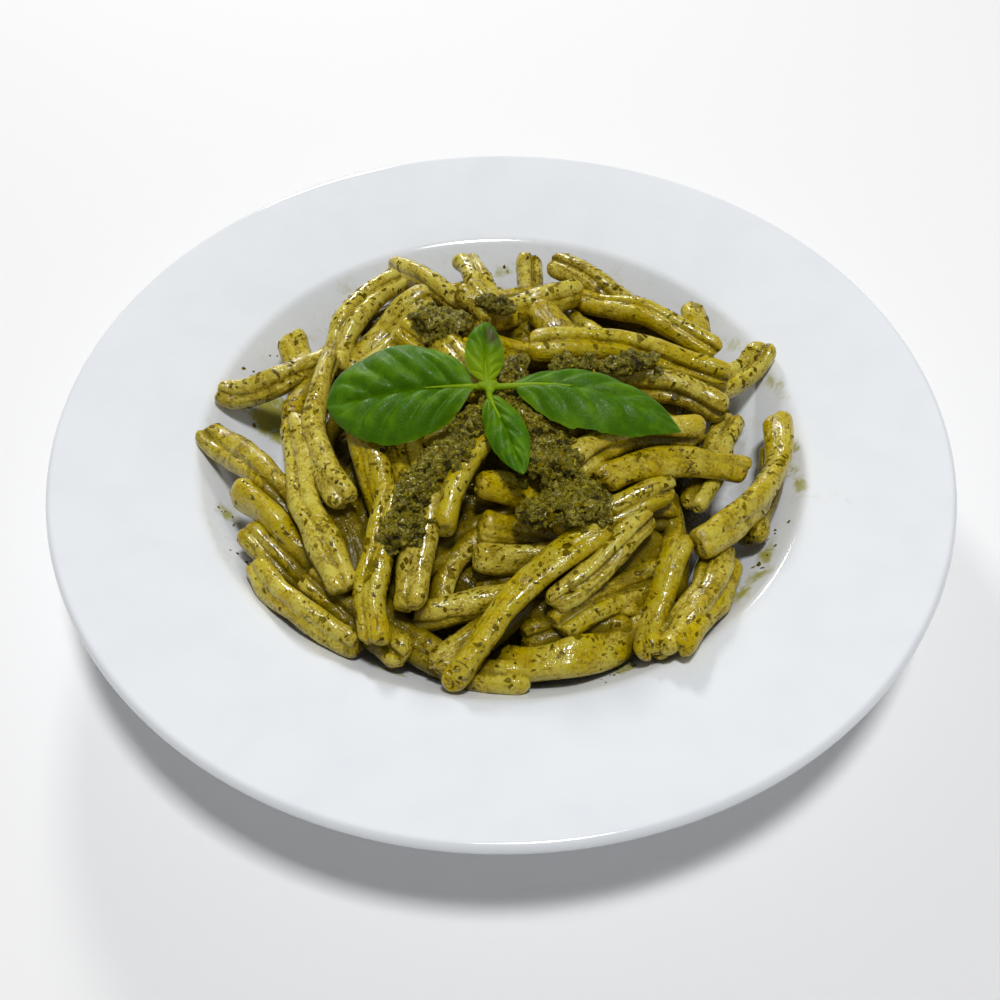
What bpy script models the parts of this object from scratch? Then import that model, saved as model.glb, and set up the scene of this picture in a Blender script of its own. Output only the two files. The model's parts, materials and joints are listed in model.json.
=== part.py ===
"""A plate of pesto pasta: a wide-rimmed plate, a heap of casarecce, spoonfuls of pesto and a sprig of basil.

The origin is at the middle of the plate's foot, +Z is up and +Y points to the far side of the plate.
The plate is in metres. Food is worked out in millimetres and turned into metres when its meshes are made.
"""

import math
import random
from typing import NamedTuple

import bmesh
import bpy
import numpy as np
from mathutils import Matrix, Vector

MM = 0.001
GAP = 0.0003
MERGE = 0.00001

# Plate.
PLATE_RADIUS = 0.130
PLATE_HEIGHT = 0.0365
PLATE_STEPS = 48
PLATE_WALL = 0.0038
SHOULDER_RADIUS = 0.090
SHOULDER_HEIGHT = 0.0286
SHOULDER_ROUND = 0.006
WELL_SLOPE = math.radians(45)
FLOOR_HEIGHT = 0.0070
FLOOR_ROUND = 0.018
FOOT_OUTER = 0.0660
FOOT_INNER = 0.0615
FOOT_CHAMFER = 0.0008
RECESS_HEIGHT = 0.0028

# Heap of casarecce, in mm.
HEAP_RADIUS = 82.0
HEAP_EDGE_HEIGHT = 31.0
HEAP_TOP_HEIGHT = 50.0
CORE_DEPTH = 5.5
CORE_RADIUS = 65.0
CORE_FOOT = 54.0
CORE_SHIFT = 7.0
CORE_BROW = 0.80
CORE_WALL = 4.0
CORE_STEPS = 24
HALF_WIDTH = 5.0
HALF_DEPTH = 2.8
SECTION_HALF = ((1.0, 0.42), (0.62, 1.12), (0.0, 0.66), (-0.68, 1.04))
RING_SPACING = 13.0
SINK = 1.6
SNUG = 0.72
DEEPEST = 10.0
BEND_RADIUS = 30.0
FIELD_REACH = 105.0
FIELD_STEP = 1.5

# Pesto and basil, in mm.
PESTO_RISE = 1.6
LUMP_ROUGHNESS = 0.10
LEAF_THICKNESS = 0.6
LEAF_WAVES = 2.5
LEAF_SHOULDER = 0.6
STALK_RADIUS = 0.95
NODE_RADIUS = 1.9
SPRIG_NODE = (-3.5, -9.4, 56.5)


class Strand(NamedTuple):
    """One laid piece, in mm and degrees: the plan of its ends, its bow to the left, its roll and its twist."""

    start: tuple
    end: tuple
    bow: float = 0.0
    roll: float = 0.0
    twist: float = 40.0


# From the topmost to the lowest, as each lies under those before it.
LAID = (
    # Left side, uppermost.
    Strand((-61, -6), (-41, -62), -2, 30, -40),
    Strand((-51, 18), (-41, -38), -7, 55, -80),
    Strand((-52, 20), (-33, 58), 3, 20, 60),
    Strand((-86, 14), (-50, 39), -9, 75, 30),
    # Near side, uppermost.
    Strand((27, -46), (-12, -85), -3, 40, 80),
    Strand((0, -12), (-14, -48), -3, 60, 40),
    Strand((-18, -28), (-23, -68), -1, 15, 40),
    Strand((-29, -34), (-33, -74), -2, 20, 40),
    Strand((-45, 5), (-31, -37), 0, 30, 50),
    # Right side, uppermost.
    Strand((82, 3), (53, -47), 8, 90, 160),
    Strand((9, 15), (68, 15), 4, 50, 60),
    Strand((10, 35), (30, 7), 2, 20, 30),
    Strand((-3, 33), (25, 48), 0, 60, 40),
    Strand((16, 54), (67, 27), 1, 20, 60),
    Strand((22, 7), (67, 0), 5, 50, 40),
    Strand((13, -45), (46, -32), -1, 50, 40),
    Strand((27, -33), (71, -20), 7, 5, 30),
    Strand((16, -34), (56, -11), 4, 60, 40),
    Strand((52, -33), (70, 4), 0, 5, 30),
    Strand((59, -43), (41, -77), 2, 40, 30),
    Strand((49, -43), (38, -78), -1, 30, 30),
    Strand((12, -67), (40, -42), -1, 50, 40),
    # Middle.
    Strand((-21, 30), (-5, -7), 0, 20, 30),
    Strand((-31, 27), (-7, 6), 2, 40, 30),
    Strand((-18, -81), (9, -61), 1, 10, 30),
    Strand((-23, -66), (11, -54), -3, 75, 30),
    Strand((-6, -52), (25, -47), -1, 70, 30),
    Strand((-6, -44), (22, -48), 3, 60, 30),
    Strand((-16, -65), (2, -44), 6, 85, 20),
    Strand((-12, 49), (9, 28), 1, 20, 40),
    Strand((26, 2), (59, -7), 3, 60, 30),
    Strand((55, 10), (83, 32), -3, 20, 50),
    Strand((20, -45), (47, -35), 3, 50, 20),
    Strand((14, -70), (44, -50), 1, 20, 40),
    Strand((-2, -77), (42, -59), -9, 40, 60),
    Strand((7, -71), (36, -62), 1, 60, 30),
    Strand((-18, -71), (6, -82), -3, 20, 30),
    # Far side.
    Strand((-54, 36), (-63, -2), -2, 50, 30),
    Strand((-39, 72), (-10, 47), 0, 70, 40),
    Strand((-14, 73), (-4, 34), 3, 10, 60),
    Strand((17, 67), (47, 43), 0, 45, 50),
    # Left side, lower.
    Strand((-52, -54), (-25, -77), 1, 20, 30),
    Strand((-71, -38), (-38, -64), -1, 50, 40),
    Strand((-67, -49), (-37, -73), -3, 60, 20),
    Strand((-73, -26), (-39, -58), -1, 80, 30),
    Strand((-87, -3), (-52, -42), 2, 40, 60),
    Strand((-48, 20), (-22, 44), 2, 20, 30),
    Strand((-37, 28), (-25, 72), 1, 20, 30),
    # Far side, lower.
    Strand((-6, 52), (34, 60), 0, 30, 30),
    Strand((15, 56), (37, 20), -2, 30, 40),
    Strand((10, 32), (9, 75), 0, 5, 30),
    Strand((68, 17), (62, 52), 1, 20, 20),
    Strand((-56, 3), (-68, 40), -1, 5, 20),
    # Right side, lower.
    Strand((82, -4), (69, -39), 1, 30, 30),
    Strand((64, -44), (44, -78), 1, 20, 20),
    # Lower on the far slope.
    Strand((-44, 40), (-8, 60), 4, 20, 30),
    Strand((14, 62), (54, 36), 4, 40, 30),
    # Deepest of those that show.
    Strand((-38, 2), (-26, -36), 0, 30, 20),
    Strand((-34, 13), (3, 2), 5, 30, 40),
    Strand((-12, 8), (29, 4), 0, 40, 40),
    Strand((-9, 20), (31, 26), -3, 20, 40),
)


class Lump(NamedTuple):
    """One lump of pesto, in mm and degrees: its place in plan, half length, half width, half height and heading."""

    place: tuple
    long: float
    wide: float
    high: float
    heading: float = 0.0


DOLLOP = (
    # From under the sprig to the left and near side.
    Lump((-8, -18), 9.0, 5.4, 4.0, 57),
    Lump((-16, -29), 8.5, 6.2, 4.4, 48),
    Lump((-23, -38), 8.0, 5.6, 4.2, 50),
    Lump((-25, -48), 7.0, 5.2, 3.8, 20),
    # From under the sprig to the right and near side.
    Lump((-1, -12), 6.5, 4.5, 3.6, 0),
    Lump((7, -17), 9.0, 6.4, 4.4, -60),
    Lump((13, -29), 9.5, 8.0, 5.0, -50),
    Lump((19, -41), 10.5, 8.0, 5.0, -10),
    Lump((9, -45), 6.5, 4.6, 3.8, -10),
    # Behind the sprig.
    Lump((3, -1), 10.5, 4.6, 3.8, 80),
)
FAR_LEFT_CLUMP = (
    Lump((-20, 26), 7.5, 5.2, 4.4, 10),
    Lump((-15, 22), 7.5, 6.0, 4.4, 40),
)
FAR_CLUMP = (
    Lump((-4, 34), 4.6, 3.0, 3.0, -5),
    Lump((1, 32), 3.8, 2.8, 2.8, 10),
)
RIGHT_STREAK = (
    Lump((21, 5), 8.5, 3.0, 2.8, 0),
    Lump((36, 8), 10.0, 3.8, 3.4, 12),
)


class Leaf(NamedTuple):
    """One basil leaf: its base, length and width in mm, and its angles in degrees.

    Its axis sets out at heading and pitch and turns by sweep and droop. Tilt turns the blade about its axis,
    fold lowers both edges from the midrib, dome puffs up each half, and wave ripples the edges. A higher taper
    gives a sharper tip.
    """

    base: tuple
    length: float
    width: float
    heading: float
    sweep: float
    pitch: float
    droop: float
    tilt: float
    fold: float
    dome: float
    wave: float
    taper: float


LEAVES = {
    "left": Leaf((-7.9, -9.0, 56.5), 41.5, 31, 176, 12, -1, 18, -14, 0.07, 0.12, 0.5, 0.58),
    "right": Leaf((3.7, -8.5, 56.3), 49, 24.5, -1, -23, 13, 45, -7, 0.33, 0.14, 0.5, 0.81),
    "far": Leaf((-4.0, -8.4, 57.6), 18, 11.2, 95, -8, 27, 10, 10, 0.16, 0.14, 0.3, 0.69),
    "near": Leaf((-3.4, -12.7, 56.3), 28.5, 10.8, -70, -3, 7, 16, 14, 0.18, 0.14, 0.4, 0.74),
}
LEAF_CELLS = {"left": (10, 6), "right": (10, 6), "far": (6, 4), "near": (7, 4)}


def material(name, colour, roughness, metallic=0.0):
    """A Principled material of one colour."""
    made = bpy.data.materials.new(name)
    made.use_nodes = True
    shader = made.node_tree.nodes["Principled BSDF"]
    shader.inputs["Base Color"].default_value = (*colour, 1.0)
    shader.inputs["Roughness"].default_value = roughness
    shader.inputs["Metallic"].default_value = metallic
    return made


def arc(centre, radius, start, end, steps):
    """Points of an arc from one angle to another in radians, both ends included."""
    angles = [start + (end - start) * i / steps for i in range(steps + 1)]
    return [(centre[0] + radius * math.cos(a), centre[1] + radius * math.sin(a)) for a in angles]


def rounded(corner, slope_in, slope_out, radius, steps):
    """A corner between two slopes, rounded off, for a hollow turn and for a convex one."""
    half = (slope_out - slope_in) / 2
    side = math.copysign(1, half)
    reach = radius * abs(math.tan(half))
    x = corner[0] - reach * math.cos(slope_in) - side * radius * math.sin(slope_in)
    y = corner[1] - reach * math.sin(slope_in) + side * radius * math.cos(slope_in)
    start = slope_in - side * math.pi / 2
    return arc((x, y), radius, start, start + 2 * half, steps)


def plate_top():
    """The plate's upper side, from its middle to the start of the lip."""
    slope = math.atan2(PLATE_HEIGHT - SHOULDER_HEIGHT, PLATE_RADIUS - SHOULDER_RADIUS)
    knee = SHOULDER_RADIUS - (SHOULDER_HEIGHT - FLOOR_HEIGHT) / math.tan(WELL_SLOPE)
    points = [(0.0, FLOOR_HEIGHT)]
    points += rounded((knee, FLOOR_HEIGHT), 0.0, WELL_SLOPE, FLOOR_ROUND, 3)
    points += rounded((SHOULDER_RADIUS, SHOULDER_HEIGHT), WELL_SLOPE, slope, SHOULDER_ROUND, 2)
    lip = PLATE_WALL / 2
    points.append((PLATE_RADIUS - lip * (1 + math.sin(slope)), PLATE_HEIGHT - lip * (1 - math.cos(slope))))
    return points


def offset(points, distance):
    """The line through these points, moved to its left by distance."""
    moved = []
    for i, point in enumerate(points):
        before = Vector(points[max(i - 1, 0)])
        after = Vector(points[min(i + 1, len(points) - 1)])
        here = Vector(point)
        ins = (here - before).normalized() if i else (after - here).normalized()
        outs = (after - here).normalized() if i < len(points) - 1 else ins
        along = (ins + outs).normalized()
        square = Vector((-along.y, along.x))
        moved.append(tuple(here + square * (distance / along.dot(ins))))
    return moved


def turned(name, outline, collection, steps=PLATE_STEPS):
    """A solid turned about the Z axis from an outline of radius and height, from its top down its outer side."""
    mesh = bpy.data.meshes.new(name)
    edges = [(i, i + 1) for i in range(len(outline) - 1)]
    mesh.from_pydata([(r, 0.0, z) for r, z in outline], edges, [])
    made = bpy.data.objects.new(name, mesh)
    collection.objects.link(made)
    screw = made.modifiers.new("Turn", "SCREW")
    screw.steps = steps
    screw.render_steps = steps
    screw.use_merge_vertices = True
    screw.merge_threshold = MERGE
    screw.use_smooth_shade = True
    return made


def plate_outline():
    """The whole outline of the plate, from the middle of its floor round the lip and foot to the middle below."""
    top = plate_top()
    under = offset(top, -PLATE_WALL)
    slope = math.atan2(PLATE_HEIGHT - SHOULDER_HEIGHT, PLATE_RADIUS - SHOULDER_RADIUS)
    lip_middle = ((top[-1][0] + under[-1][0]) / 2, (top[-1][1] + under[-1][1]) / 2)
    lip = arc(lip_middle, PLATE_WALL / 2, slope + math.pi / 2, slope - math.pi / 2, 3)
    outer = [point for point in reversed(under[:-1]) if point[0] > FOOT_OUTER + 2 * FOOT_CHAMFER]
    foot = [
        (FOOT_OUTER, under[2][1]),
        (FOOT_OUTER, FOOT_CHAMFER),
        (FOOT_OUTER - FOOT_CHAMFER, 0.0),
        (FOOT_INNER + FOOT_CHAMFER, 0.0),
        (FOOT_INNER, RECESS_HEIGHT),
        (0.0, RECESS_HEIGHT),
    ]
    return top[:-1] + lip + outer + foot


def strand_section():
    """A casareccia's section in mm: two lobes with a groove above and one below, one half the other turned round."""
    half = [(across * HALF_WIDTH, up * HALF_DEPTH) for across, up in SECTION_HALF]
    return half + [(-across, -up) for across, up in half]


def heap_height(radius):
    """The height in mm of the middle of the topmost pieces at a radius in mm."""
    share = np.minimum(radius / HEAP_RADIUS, 1.1)
    return HEAP_EDGE_HEIGHT + (HEAP_TOP_HEIGHT - HEAP_EDGE_HEIGHT) * (1 - share**2)


class Field:
    """Height maps in mm: the plate below the heap, and the underside of the pieces laid over each place."""

    def __init__(self):
        axis = np.arange(-FIELD_REACH, FIELD_REACH + FIELD_STEP, FIELD_STEP)
        self.x, self.y = np.meshgrid(axis, axis, indexing="ij")
        plate = np.array(plate_top()) / MM
        self.floor = np.interp(np.hypot(self.x, self.y), plate[:, 0], plate[:, 1]) + 2 * GAP / MM
        self.ceiling = np.full(self.x.shape, 1e3)

    def around(self, x, y, half_width, half_height):
        """The cells round a point, and how far a round piece there stands out above each."""
        low = [max(int((value - half_width + FIELD_REACH) / FIELD_STEP), 0) for value in (x, y)]
        high = [int((value + half_width + FIELD_REACH) / FIELD_STEP) + 2 for value in (x, y)]
        cells = (slice(low[0], high[0]), slice(low[1], high[1]))
        share = np.hypot(self.x[cells] - x, self.y[cells] - y) / half_width
        bulge = half_height * np.sqrt(np.clip(1 - share**2, 0, 1))
        return cells, np.where(share < 1, bulge, np.nan)

    def lowest(self, *place):
        """The lowest that the middle of a piece can lie here, on the plate."""
        cells, bulge = self.around(*place)
        return np.nanmax(self.floor[cells] + bulge)

    def highest(self, x, y, half_width, half_height):
        """The highest that the middle of a piece can lie here, under those laid over it."""
        cells, bulge = self.around(x, y, SNUG * half_width, half_height)
        return np.nanmin(self.ceiling[cells] - bulge) + SINK

    def cover(self, x, y, z, half_width, half_height):
        """Lowers the ceiling to the underside of a piece."""
        cells, bulge = self.around(x, y, SNUG * half_width, half_height)
        self.ceiling[cells] = np.fmin(self.ceiling[cells], z - bulge)


def plan_line(strand, steps):
    """Points in plan along a bowed piece."""
    start, end = np.array(strand.start, float), np.array(strand.end, float)
    along = (end - start) / np.linalg.norm(end - start)
    left = np.array([-along[1], along[0]])
    share = np.linspace(0, 1, steps)[:, None]
    return start + (end - start) * share + left * strand.bow * 4 * share * (1 - share)


def settle(field, strand):
    """The middle line of a piece that passes under those laid over it, and its turn at each point."""
    length = math.dist(strand.start, strand.end)
    steps = max(int(length / 2), 12)
    plan = plan_line(strand, steps)
    share = np.linspace(0, 1, steps)
    turn = np.radians(strand.roll + strand.twist * (share - 0.5))
    wide = np.hypot(HALF_WIDTH * np.cos(turn), HALF_DEPTH * np.sin(turn))
    tall = np.hypot(HALF_WIDTH * np.sin(turn), HALF_DEPTH * np.cos(turn))
    places = list(zip(plan[:, 0], plan[:, 1], wide, tall))
    top = heap_height(np.hypot(*plan.T))
    high = np.clip([field.highest(*place) for place in places], top - DEEPEST, top)
    apart = length * share
    bend = (apart[:, None] - apart[None, :]) ** 2 / (2 * BEND_RADIUS)
    height = (high[None, :] + bend).min(axis=1)
    kernel = np.array([1, 2, 3, 4, 3, 2, 1]) / 16
    height = np.convolve(np.pad(height, 3, mode="reflect", reflect_type="odd"), kernel, "valid")
    height = np.maximum(height, [field.lowest(*place) for place in places])
    for x, y, z, w, h in zip(plan[:, 0], plan[:, 1], height, wide, tall):
        field.cover(x, y, z, w, h)
    return np.column_stack([plan, height]), turn


def laid_lines():
    """Each piece's middle line and turns."""
    field = Field()
    return [settle(field, strand) for strand in LAID]


def new_collection(name):
    """A collection linked to the scene."""
    made = bpy.data.collections.new(name)
    bpy.context.scene.collection.children.link(made)
    return made


def solid_from(name, shape, collection):
    """An object of a bmesh, which is freed."""
    mesh = bpy.data.meshes.new(name)
    shape.to_mesh(mesh)
    shape.free()
    made = bpy.data.objects.new(name, mesh)
    collection.objects.link(made)
    return made


def bake(made):
    """Applies an object's modifiers."""
    graph = bpy.context.evaluated_depsgraph_get()
    mesh = bpy.data.meshes.new_from_object(made.evaluated_get(graph))
    made.modifiers.clear()
    made.data = mesh


def join(pieces):
    """Makes one solid of overlapping pieces and returns it, under the first piece's name."""
    first, *others = pieces
    group = new_collection(first.name + "_pieces")
    for piece in others:
        for holder in piece.users_collection:
            holder.objects.unlink(piece)
        group.objects.link(piece)
    boolean = first.modifiers.new("Join", "BOOLEAN")
    boolean.operation = "UNION"
    boolean.operand_type = "COLLECTION"
    boolean.collection = group
    boolean.solver = "MANIFOLD"
    bake(first)
    for piece in others:
        bpy.data.objects.remove(piece)
    bpy.data.collections.remove(group)
    return first


def trim(made, operation, cutter):
    """Intersects a solid with a cutter or takes the cutter away from it, and removes the cutter."""
    boolean = made.modifiers.new("Trim", "BOOLEAN")
    boolean.operation = operation
    boolean.object = cutter
    boolean.solver = "MANIFOLD"
    bake(made)
    bpy.data.objects.remove(cutter)


def keep_largest_shell(made):
    """Drops loose scraps and fills sealed hollows, by keeping only the outer shell."""
    shape = bmesh.new()
    shape.from_mesh(made.data)
    left = set(shape.verts)
    shells = []
    while left:
        reached = [left.pop()]
        for vert in reached:
            for edge in vert.link_edges:
                other = edge.other_vert(vert)
                if other in left:
                    left.remove(other)
                    reached.append(other)
        shells.append(reached)
    shells.sort(key=len)
    for shell in shells[:-1]:
        bmesh.ops.delete(shape, geom=shell, context="VERTS")
    shape.to_mesh(made.data)
    shape.free()


def resampled(line, turn):
    """A middle line and its turns, at about RING_SPACING along the piece."""
    steps = np.linalg.norm(np.diff(line, axis=0), axis=1)
    reached = np.concatenate([[0.0], np.cumsum(steps)])
    rings = max(round(reached[-1] / RING_SPACING), 2) + 1
    places = np.linspace(0, reached[-1], rings)
    columns = [np.interp(places, reached, line[:, i]) for i in range(3)]
    return np.column_stack(columns), np.interp(places, reached, turn)


def swept(name, line, turn, radii, section, collection):
    """A solid swept along a line in mm, turned in radians about the line at each of its points."""
    data = bpy.data.curves.new(name, "CURVE")
    data.dimensions = "3D"
    data.twist_mode = "Z_UP"
    data.bevel_mode = "OBJECT"
    data.bevel_object = section
    data.use_fill_caps = True
    spline = data.splines.new("POLY")
    spline.points.add(len(line) - 1)
    for point, place, tilt, radius in zip(spline.points, line, turn, radii):
        point.co = (*(Vector(place) * MM), 1.0)
        point.tilt = tilt
        point.radius = radius
    curve = bpy.data.objects.new(name + "_path", data)
    collection.objects.link(curve)
    graph = bpy.context.evaluated_depsgraph_get()
    mesh = bpy.data.meshes.new_from_object(curve.evaluated_get(graph))
    bpy.data.objects.remove(curve)
    shape = bmesh.new()
    shape.from_mesh(mesh)
    bpy.data.meshes.remove(mesh)
    bmesh.ops.remove_doubles(shape, verts=shape.verts, dist=MERGE)
    bmesh.ops.recalc_face_normals(shape, faces=shape.faces)
    return solid_from(name, shape, collection)


def section_curve(name, points, collection):
    """A closed flat curve through points in mm, to be swept."""
    data = bpy.data.curves.new(name, "CURVE")
    data.dimensions = "2D"
    spline = data.splines.new("POLY")
    spline.points.add(len(points) - 1)
    for point, place in zip(spline.points, points):
        point.co = (place[0] * MM, place[1] * MM, 0.0, 1.0)
    spline.use_cyclic_u = True
    made = bpy.data.objects.new(name, data)
    made.hide_render = True
    made.display_type = "WIRE"
    collection.objects.link(made)
    return made


def heap_core(collection):
    """The bare core of the heap, clear of the plate, a little to its near side and steep at its brow."""
    shares = [0.0, 0.4, CORE_BROW, 0.9, 0.97, 1.0]
    outline = [(share * CORE_RADIUS * MM, 1.0) for share in shares] + [(CORE_FOOT * MM, 0.0), (0.0, 0.0)]
    core = turned("pasta_heap", outline, collection, CORE_STEPS)
    bake(core)
    floor = FLOOR_HEIGHT + 1.5 * GAP
    for vert in core.data.vertices:
        share = min(math.hypot(vert.co.x, vert.co.y) / (CORE_RADIUS * MM), 1.0)
        vert.co.y -= CORE_SHIFT * MM
        if vert.co.z < 0.5:
            vert.co.z = floor
            continue
        top = float(heap_height(math.hypot(vert.co.x, vert.co.y) / MM) - CORE_DEPTH) * MM
        beyond = max(share - CORE_BROW, 0.0) / (1 - CORE_BROW)
        low = floor + CORE_WALL * MM
        vert.co.z = low + (top - low) * math.sqrt(max(1 - beyond**2, 0.0))
    return core


def well_space(collection):
    """All the room over the plate, GAP clear of it."""
    upper = offset(plate_top(), GAP)
    rim = upper[-1][0]
    return turned("well_space", [(0.0, 0.1), (rim, 0.1)] + list(reversed(upper)), collection)


def lumps_solid(name, lumps, seed, spare, collection):
    """Lumps of pesto lying on the heap and joined together, grown by spare mm all round."""
    rng = random.Random(seed)
    pieces = []
    for i, lump in enumerate(lumps):
        shape = bmesh.new()
        bmesh.ops.create_icosphere(shape, subdivisions=2, radius=1.0)
        height = float(heap_height(math.hypot(*lump.place))) + PESTO_RISE
        place = Vector((*lump.place, height))
        turn = Matrix.Rotation(math.radians(lump.heading), 3, "Z")
        for vert in shape.verts:
            rough = 1 + rng.uniform(-LUMP_ROUGHNESS, LUMP_ROUGHNESS)
            sizes = Vector((lump.long, lump.wide, lump.high)) * rough + Vector((spare, spare, spare))
            vert.co = (place + turn @ (vert.co * sizes)) * MM
        pieces.append(solid_from(name if i == 0 else f"{name}_{i}", shape, collection))
    return join(pieces)


def leaf_width(leaf, along):
    """Half the width in mm of a leaf at a share of its length."""
    widest = LEAF_SHOULDER / (LEAF_SHOULDER + leaf.taper)
    peak = widest**LEAF_SHOULDER * (1 - widest) ** leaf.taper
    return leaf.width / 2 * along**LEAF_SHOULDER * (1 - along) ** leaf.taper / peak


def leaf_point(leaf, along, across):
    """A point in mm of the middle of a leaf's blade, at a share of its length and of its half width."""
    steps = 16
    place = Vector(leaf.base)
    for i in range(steps):
        share = along * (i + 0.5) / steps
        heading = math.radians(leaf.heading + leaf.sweep * share)
        pitch = math.radians(leaf.pitch - leaf.droop * share)
        level = math.cos(pitch)
        step = Vector((level * math.cos(heading), level * math.sin(heading), math.sin(pitch)))
        place += step * (leaf.length * along / steps)
    heading = math.radians(leaf.heading + leaf.sweep * along)
    pitch = math.radians(leaf.pitch - leaf.droop * along)
    ahead = Vector((math.cos(pitch) * math.cos(heading), math.cos(pitch) * math.sin(heading), math.sin(pitch)))
    side = Vector((-math.sin(heading), math.cos(heading), 0.0))
    up = ahead.cross(side)
    tilt = math.radians(leaf.tilt)
    turned_side = side * math.cos(tilt) + up * math.sin(tilt)
    turned_up = up * math.cos(tilt) - side * math.sin(tilt)
    half = leaf_width(leaf, along)
    edge = abs(across)
    rise = half * (4 * leaf.dome * edge * (1 - edge) - leaf.fold * edge)
    rise += leaf.wave * edge**2 * math.sin(math.tau * (LEAF_WAVES * along + (0.25 if across > 0 else 0.0)))
    return place + turned_side * (half * across) + turned_up * rise


def leaf_solid(name, leaf, cells, collection):
    """A thin wavy leaf, both of its faces split into triangles alike."""
    shape = bmesh.new()
    bmesh.ops.create_grid(shape, x_segments=cells[0], y_segments=cells[1], size=1.0)
    for vert in shape.verts:
        along = 0.5 - 0.5 * math.cos(math.pi * (vert.co.x + 1) / 2)
        vert.co = leaf_point(leaf, along, vert.co.y) * MM
    bmesh.ops.remove_doubles(shape, verts=shape.verts, dist=MERGE)
    bmesh.ops.triangulate(shape, faces=shape.faces)
    made = solid_from(name, shape, collection)
    solidify = made.modifiers.new("Thickness", "SOLIDIFY")
    solidify.thickness = LEAF_THICKNESS * MM
    solidify.offset = 0.0
    bake(made)
    return made


def sprig(collection):
    """The basil sprig: four leaves with their stalks, and the node that they grow from."""
    ring = [(math.cos(math.tau * i / 5), math.sin(math.tau * i / 5)) for i in range(5)]
    section = section_curve("stalk_section", ring, collection)
    shape = bmesh.new()
    bmesh.ops.create_icosphere(shape, subdivisions=1, radius=NODE_RADIUS * MM)
    for vert in shape.verts:
        vert.co.z *= 0.75
        vert.co += Vector(SPRIG_NODE) * MM
    pieces = [solid_from("basil_sprig", shape, collection)]
    for name, leaf in LEAVES.items():
        pieces.append(leaf_solid("leaf_" + name, leaf, LEAF_CELLS[name], collection))
        line = [Vector(SPRIG_NODE)]
        line += [leaf_point(leaf, share, 0.0) for share in (0.0, 0.14, 0.3)]
        radii = [STALK_RADIUS, 0.9 * STALK_RADIUS, 0.75 * STALK_RADIUS, 0.45 * STALK_RADIUS]
        pieces.append(swept("stalk_" + name, line, [0.0] * 4, radii, section, collection))
    bpy.data.objects.remove(section)
    return join(pieces)


def pasta_heap(lines, collection):
    """The heap: its core with every laid piece fused on, clear of the plate."""
    section = section_curve("strand_section", strand_section(), collection)
    pieces = [heap_core(collection)]
    for i, (line, turn) in enumerate(lines):
        line, turn = resampled(line, turn)
        pieces.append(swept(f"strand_{i:02d}", line, turn, [1.0] * len(line), section, collection))
    bpy.data.objects.remove(section)
    heap = join(pieces)
    trim(heap, "INTERSECT", well_space(collection))
    return heap


def main():
    for obj in list(bpy.data.objects):
        bpy.data.objects.remove(obj)
    collection = new_collection("plate_of_pesto_pasta")
    plate = turned("plate", plate_outline(), collection)
    plate.data.materials.append(material("white_glazed_ceramic", (0.80, 0.82, 0.85), 0.12))

    heap = pasta_heap(laid_lines(), collection)
    pesto = material("pesto_paste", (0.10, 0.10, 0.02), 0.45)
    groups = {
        "pesto_dollop": DOLLOP,
        "pesto_clump_far_left": FAR_LEFT_CLUMP,
        "pesto_clump_far": FAR_CLUMP,
        "pesto_streak_right": RIGHT_STREAK,
    }
    for name, lumps in groups.items():
        made = lumps_solid(name, lumps, len(name), 0.0, collection)
        made.data.materials.clear()
        made.data.materials.append(pesto)
        trim(heap, "DIFFERENCE", lumps_solid(name + "_room", lumps, len(name), 1.2 * GAP / MM, collection))
    keep_largest_shell(heap)
    heap.data.materials.clear()
    heap.data.materials.append(material("cooked_pasta", (0.62, 0.50, 0.11), 0.35))
    basil = sprig(collection)
    basil.data.materials.clear()
    basil.data.materials.append(material("basil_leaf", (0.06, 0.23, 0.03), 0.45))


if __name__ == "__main__":
    main()
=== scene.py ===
"""The looks of a plate of pesto pasta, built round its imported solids.

The origin is at the middle of the plate's foot, +Z is up and +Y points to the far side of the plate.
The plate and the studio are in metres. Food is worked out in mm, as in the part's source, and made in metres.
"""

import json
import logging
import math
from dataclasses import dataclass, field
from enum import Enum, IntEnum
from typing import Iterable, NamedTuple, Sequence

import bpy
import numpy as np
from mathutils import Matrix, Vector
from mathutils.bvhtree import BVHTree

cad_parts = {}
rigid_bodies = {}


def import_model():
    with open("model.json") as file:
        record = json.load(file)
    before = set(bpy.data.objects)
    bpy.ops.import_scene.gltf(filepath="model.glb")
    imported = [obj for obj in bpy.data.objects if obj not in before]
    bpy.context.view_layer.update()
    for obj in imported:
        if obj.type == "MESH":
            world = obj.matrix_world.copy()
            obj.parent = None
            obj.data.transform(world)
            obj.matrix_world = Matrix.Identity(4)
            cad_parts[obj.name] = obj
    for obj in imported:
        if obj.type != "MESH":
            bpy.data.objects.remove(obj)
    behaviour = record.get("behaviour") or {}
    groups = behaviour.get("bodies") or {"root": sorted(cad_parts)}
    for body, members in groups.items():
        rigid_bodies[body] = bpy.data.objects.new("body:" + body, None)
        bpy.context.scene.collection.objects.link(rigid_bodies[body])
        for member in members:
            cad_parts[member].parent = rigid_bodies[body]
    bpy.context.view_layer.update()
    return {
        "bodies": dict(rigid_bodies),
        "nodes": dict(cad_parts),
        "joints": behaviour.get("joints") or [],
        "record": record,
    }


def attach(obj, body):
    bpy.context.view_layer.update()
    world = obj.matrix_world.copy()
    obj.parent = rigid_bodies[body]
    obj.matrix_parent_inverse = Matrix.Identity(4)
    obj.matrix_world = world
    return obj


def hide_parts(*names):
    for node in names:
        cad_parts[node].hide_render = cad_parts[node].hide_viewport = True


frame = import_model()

LOG = logging.getLogger("plate_of_pesto_pasta")
MM = 0.001
BODY = "root"
# What a mesh holds for its finish to read: a map of its surface, and four values for each vertex.
SURFACE_MAP = "surface"
LOOKS = "looks"

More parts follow.
